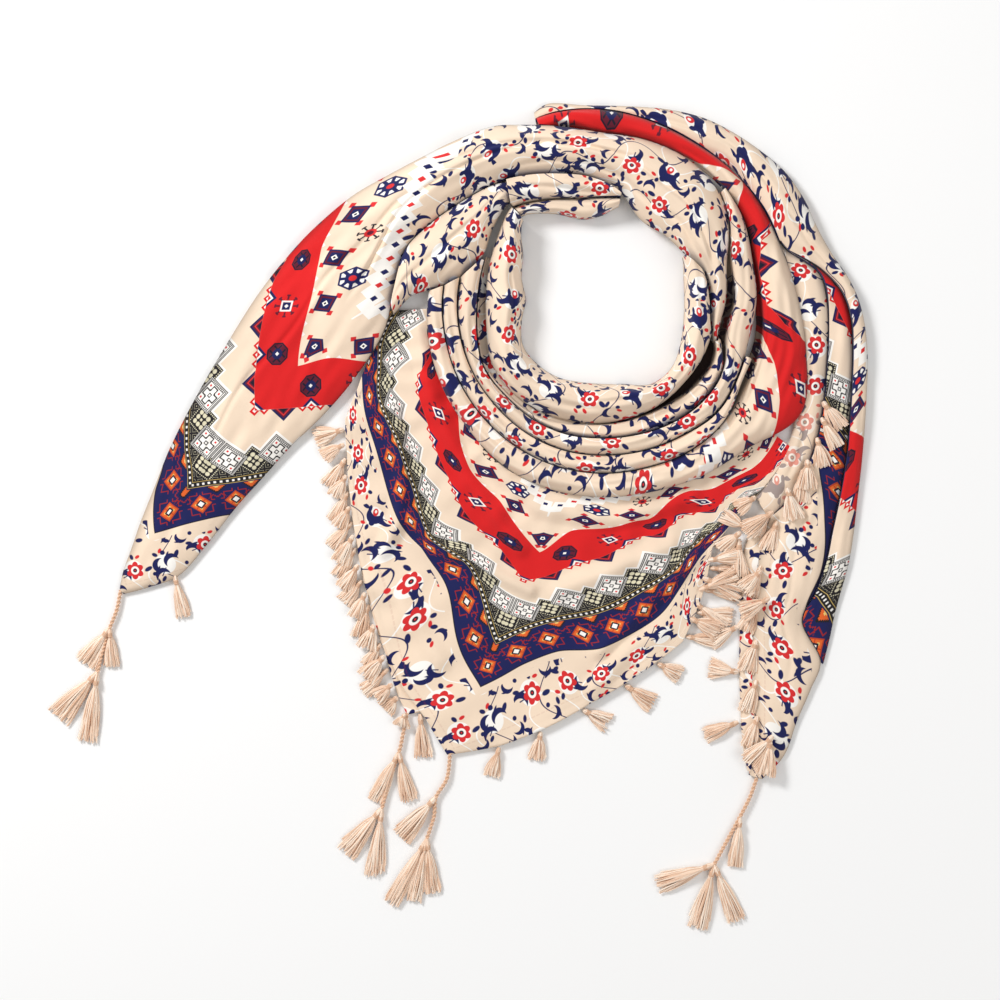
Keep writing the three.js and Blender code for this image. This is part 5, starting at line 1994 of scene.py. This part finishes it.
def cord(bm, route, top):
    """Two plies wound along a route of places in mm."""
    steps = int(run_length(route)[-1] / PLY_STEP)
    path = along_rows(route, np.linspace(0, len(route) - 1, steps))
    run = np.gradient(path, axis=0)
    run /= np.linalg.norm(run, axis=-1, keepdims=True)
    side = np.stack([-run[:, 1], run[:, 0]], axis=-1)
    gone = run_length(path)
    out = CORD_RADIUS - PLY_RADIUS
    for ply in (0, 1):
        wind = gone / PLY_TURN * 2 * math.pi + ply * math.pi
        rings = []
        for n in range(PLY_SIDES):
            edge = 2 * math.pi * n / PLY_SIDES
            flat = out * np.cos(wind) + PLY_RADIUS * math.cos(edge)
            up = out * np.sin(wind) + PLY_RADIUS * math.sin(edge)
            rings.append(np.concatenate([path + side * flat[:, None], (top + up)[:, None]], axis=-1))
        rings = np.stack(rings, axis=1) * MM
        verts = [[bm.verts.new(point) for point in row] for row in rings.tolist()]
        for row, next_row in zip(verts[:-1], verts[1:]):
            for n in range(PLY_SIDES):
                k = (n + 1) % PLY_SIDES
                bm.faces.new((row[n], row[k], next_row[k], next_row[n])).smooth = True
        bm.faces.new(verts[0][::-1])
        bm.faces.new(verts[-1])


# %% Corner clusters
CORNER_YARNS, HEAD_HIGH, CORNER_WIDER = 84, 4.4, 1.5  # yarns, mm high, mm wider than in the table
for number, (name, (route, tassels)) in enumerate(CLUSTERS.items()):
    bm = bmesh.new()
    cord(bm, place(*np.array(route, float).T), FLOOR_CLEAR + CORD_RADIUS)
    bmesh.ops.recalc_face_normals(bm, faces=bm.faces)
    sizes = {"Yarns": CORNER_YARNS, "Height": HEAD_HIGH * MM}
    for n, (x, y, to_x, to_y, width) in enumerate(tassels):
        seed = 300 + 10 * number + n
        tassel(bm, place(x, y), place(to_x, to_y), 0, width + CORNER_WIDER, seed, **sizes)
    yarn_piece(f"{name}_yarn", bm, [name])

# %% [markdown]
# ## Camera, floor and light
# The photograph looks straight down on the scarf. A long lens keeps the picture flat, so
# that heights do not push the edges outwards.

# %% Camera straight above
LENS, SENSOR, VIEW_WIDE = 100.0, 36.0, 0.6  # mm, mm, metres of table across the picture
PHOTO_MIDDLE = place(500, 500) * MM
lens = bpy.data.cameras.new("camera")
lens.lens = LENS
lens.sensor_width = SENSOR
camera = add("camera", lens)
camera.location = (*PHOTO_MIDDLE, VIEW_WIDE * LENS / SENSOR)
bpy.context.scene.camera = camera
print("camera at", [round(value, 4) for value in camera.location])

# %% Pale floor
FLOOR_WIDE, FLOOR_DROP = 6.0, 0.0005  # metres
half = FLOOR_WIDE / 2
corners = [(-half, -half, 0), (half, -half, 0), (half, half, 0), (-half, half, 0)]
floor_mesh = bpy.data.meshes.new("floor")
floor_mesh.from_pydata(corners, [], [(0, 1, 2, 3)])
pale_floor = material("pale_floor", Roughness=0.9, Base_Color=(0.93, 0.93, 0.93, 1))[0]
floor_mesh.materials.append(pale_floor)
floor = add("floor", floor_mesh)
floor.location.z = -FLOOR_DROP

# %% Soft studio light
def soft_light(name, location, size, power):
    """A round lamp that points at the middle of the picture: metres, metres, watts."""
    lamp = bpy.data.lights.new(name, "AREA")
    lamp.shape = "DISK"
    lamp.size = size
    lamp.energy = power
    light = add(name, lamp)
    light.location = location
    aim = Vector((*PHOTO_MIDDLE, 0)) - Vector(location)
    light.rotation_euler = aim.to_track_quat("-Z", "Y").to_euler()


LIGHTS = [  # name, place, size, power
    ("key_light", (-1.1, 1.0, 1.1), 0.5, 26),
    ("fill_light", (1.2, -0.5, 1.4), 1.4, 8),
]
for row in LIGHTS:
    soft_light(*row)
SKY, SKY_STRENGTH = (1, 0.99, 0.975, 1), 0.5  # the colour of the light all round, and how strong
world = bpy.data.worlds.new("studio")
world.use_nodes = True
background = world.node_tree.nodes["Background"]
background.inputs["Color"].default_value = SKY
background.inputs["Strength"].default_value = SKY_STRENGTH
bpy.context.scene.world = world
bpy.context.scene.view_settings.view_transform = "Standard"
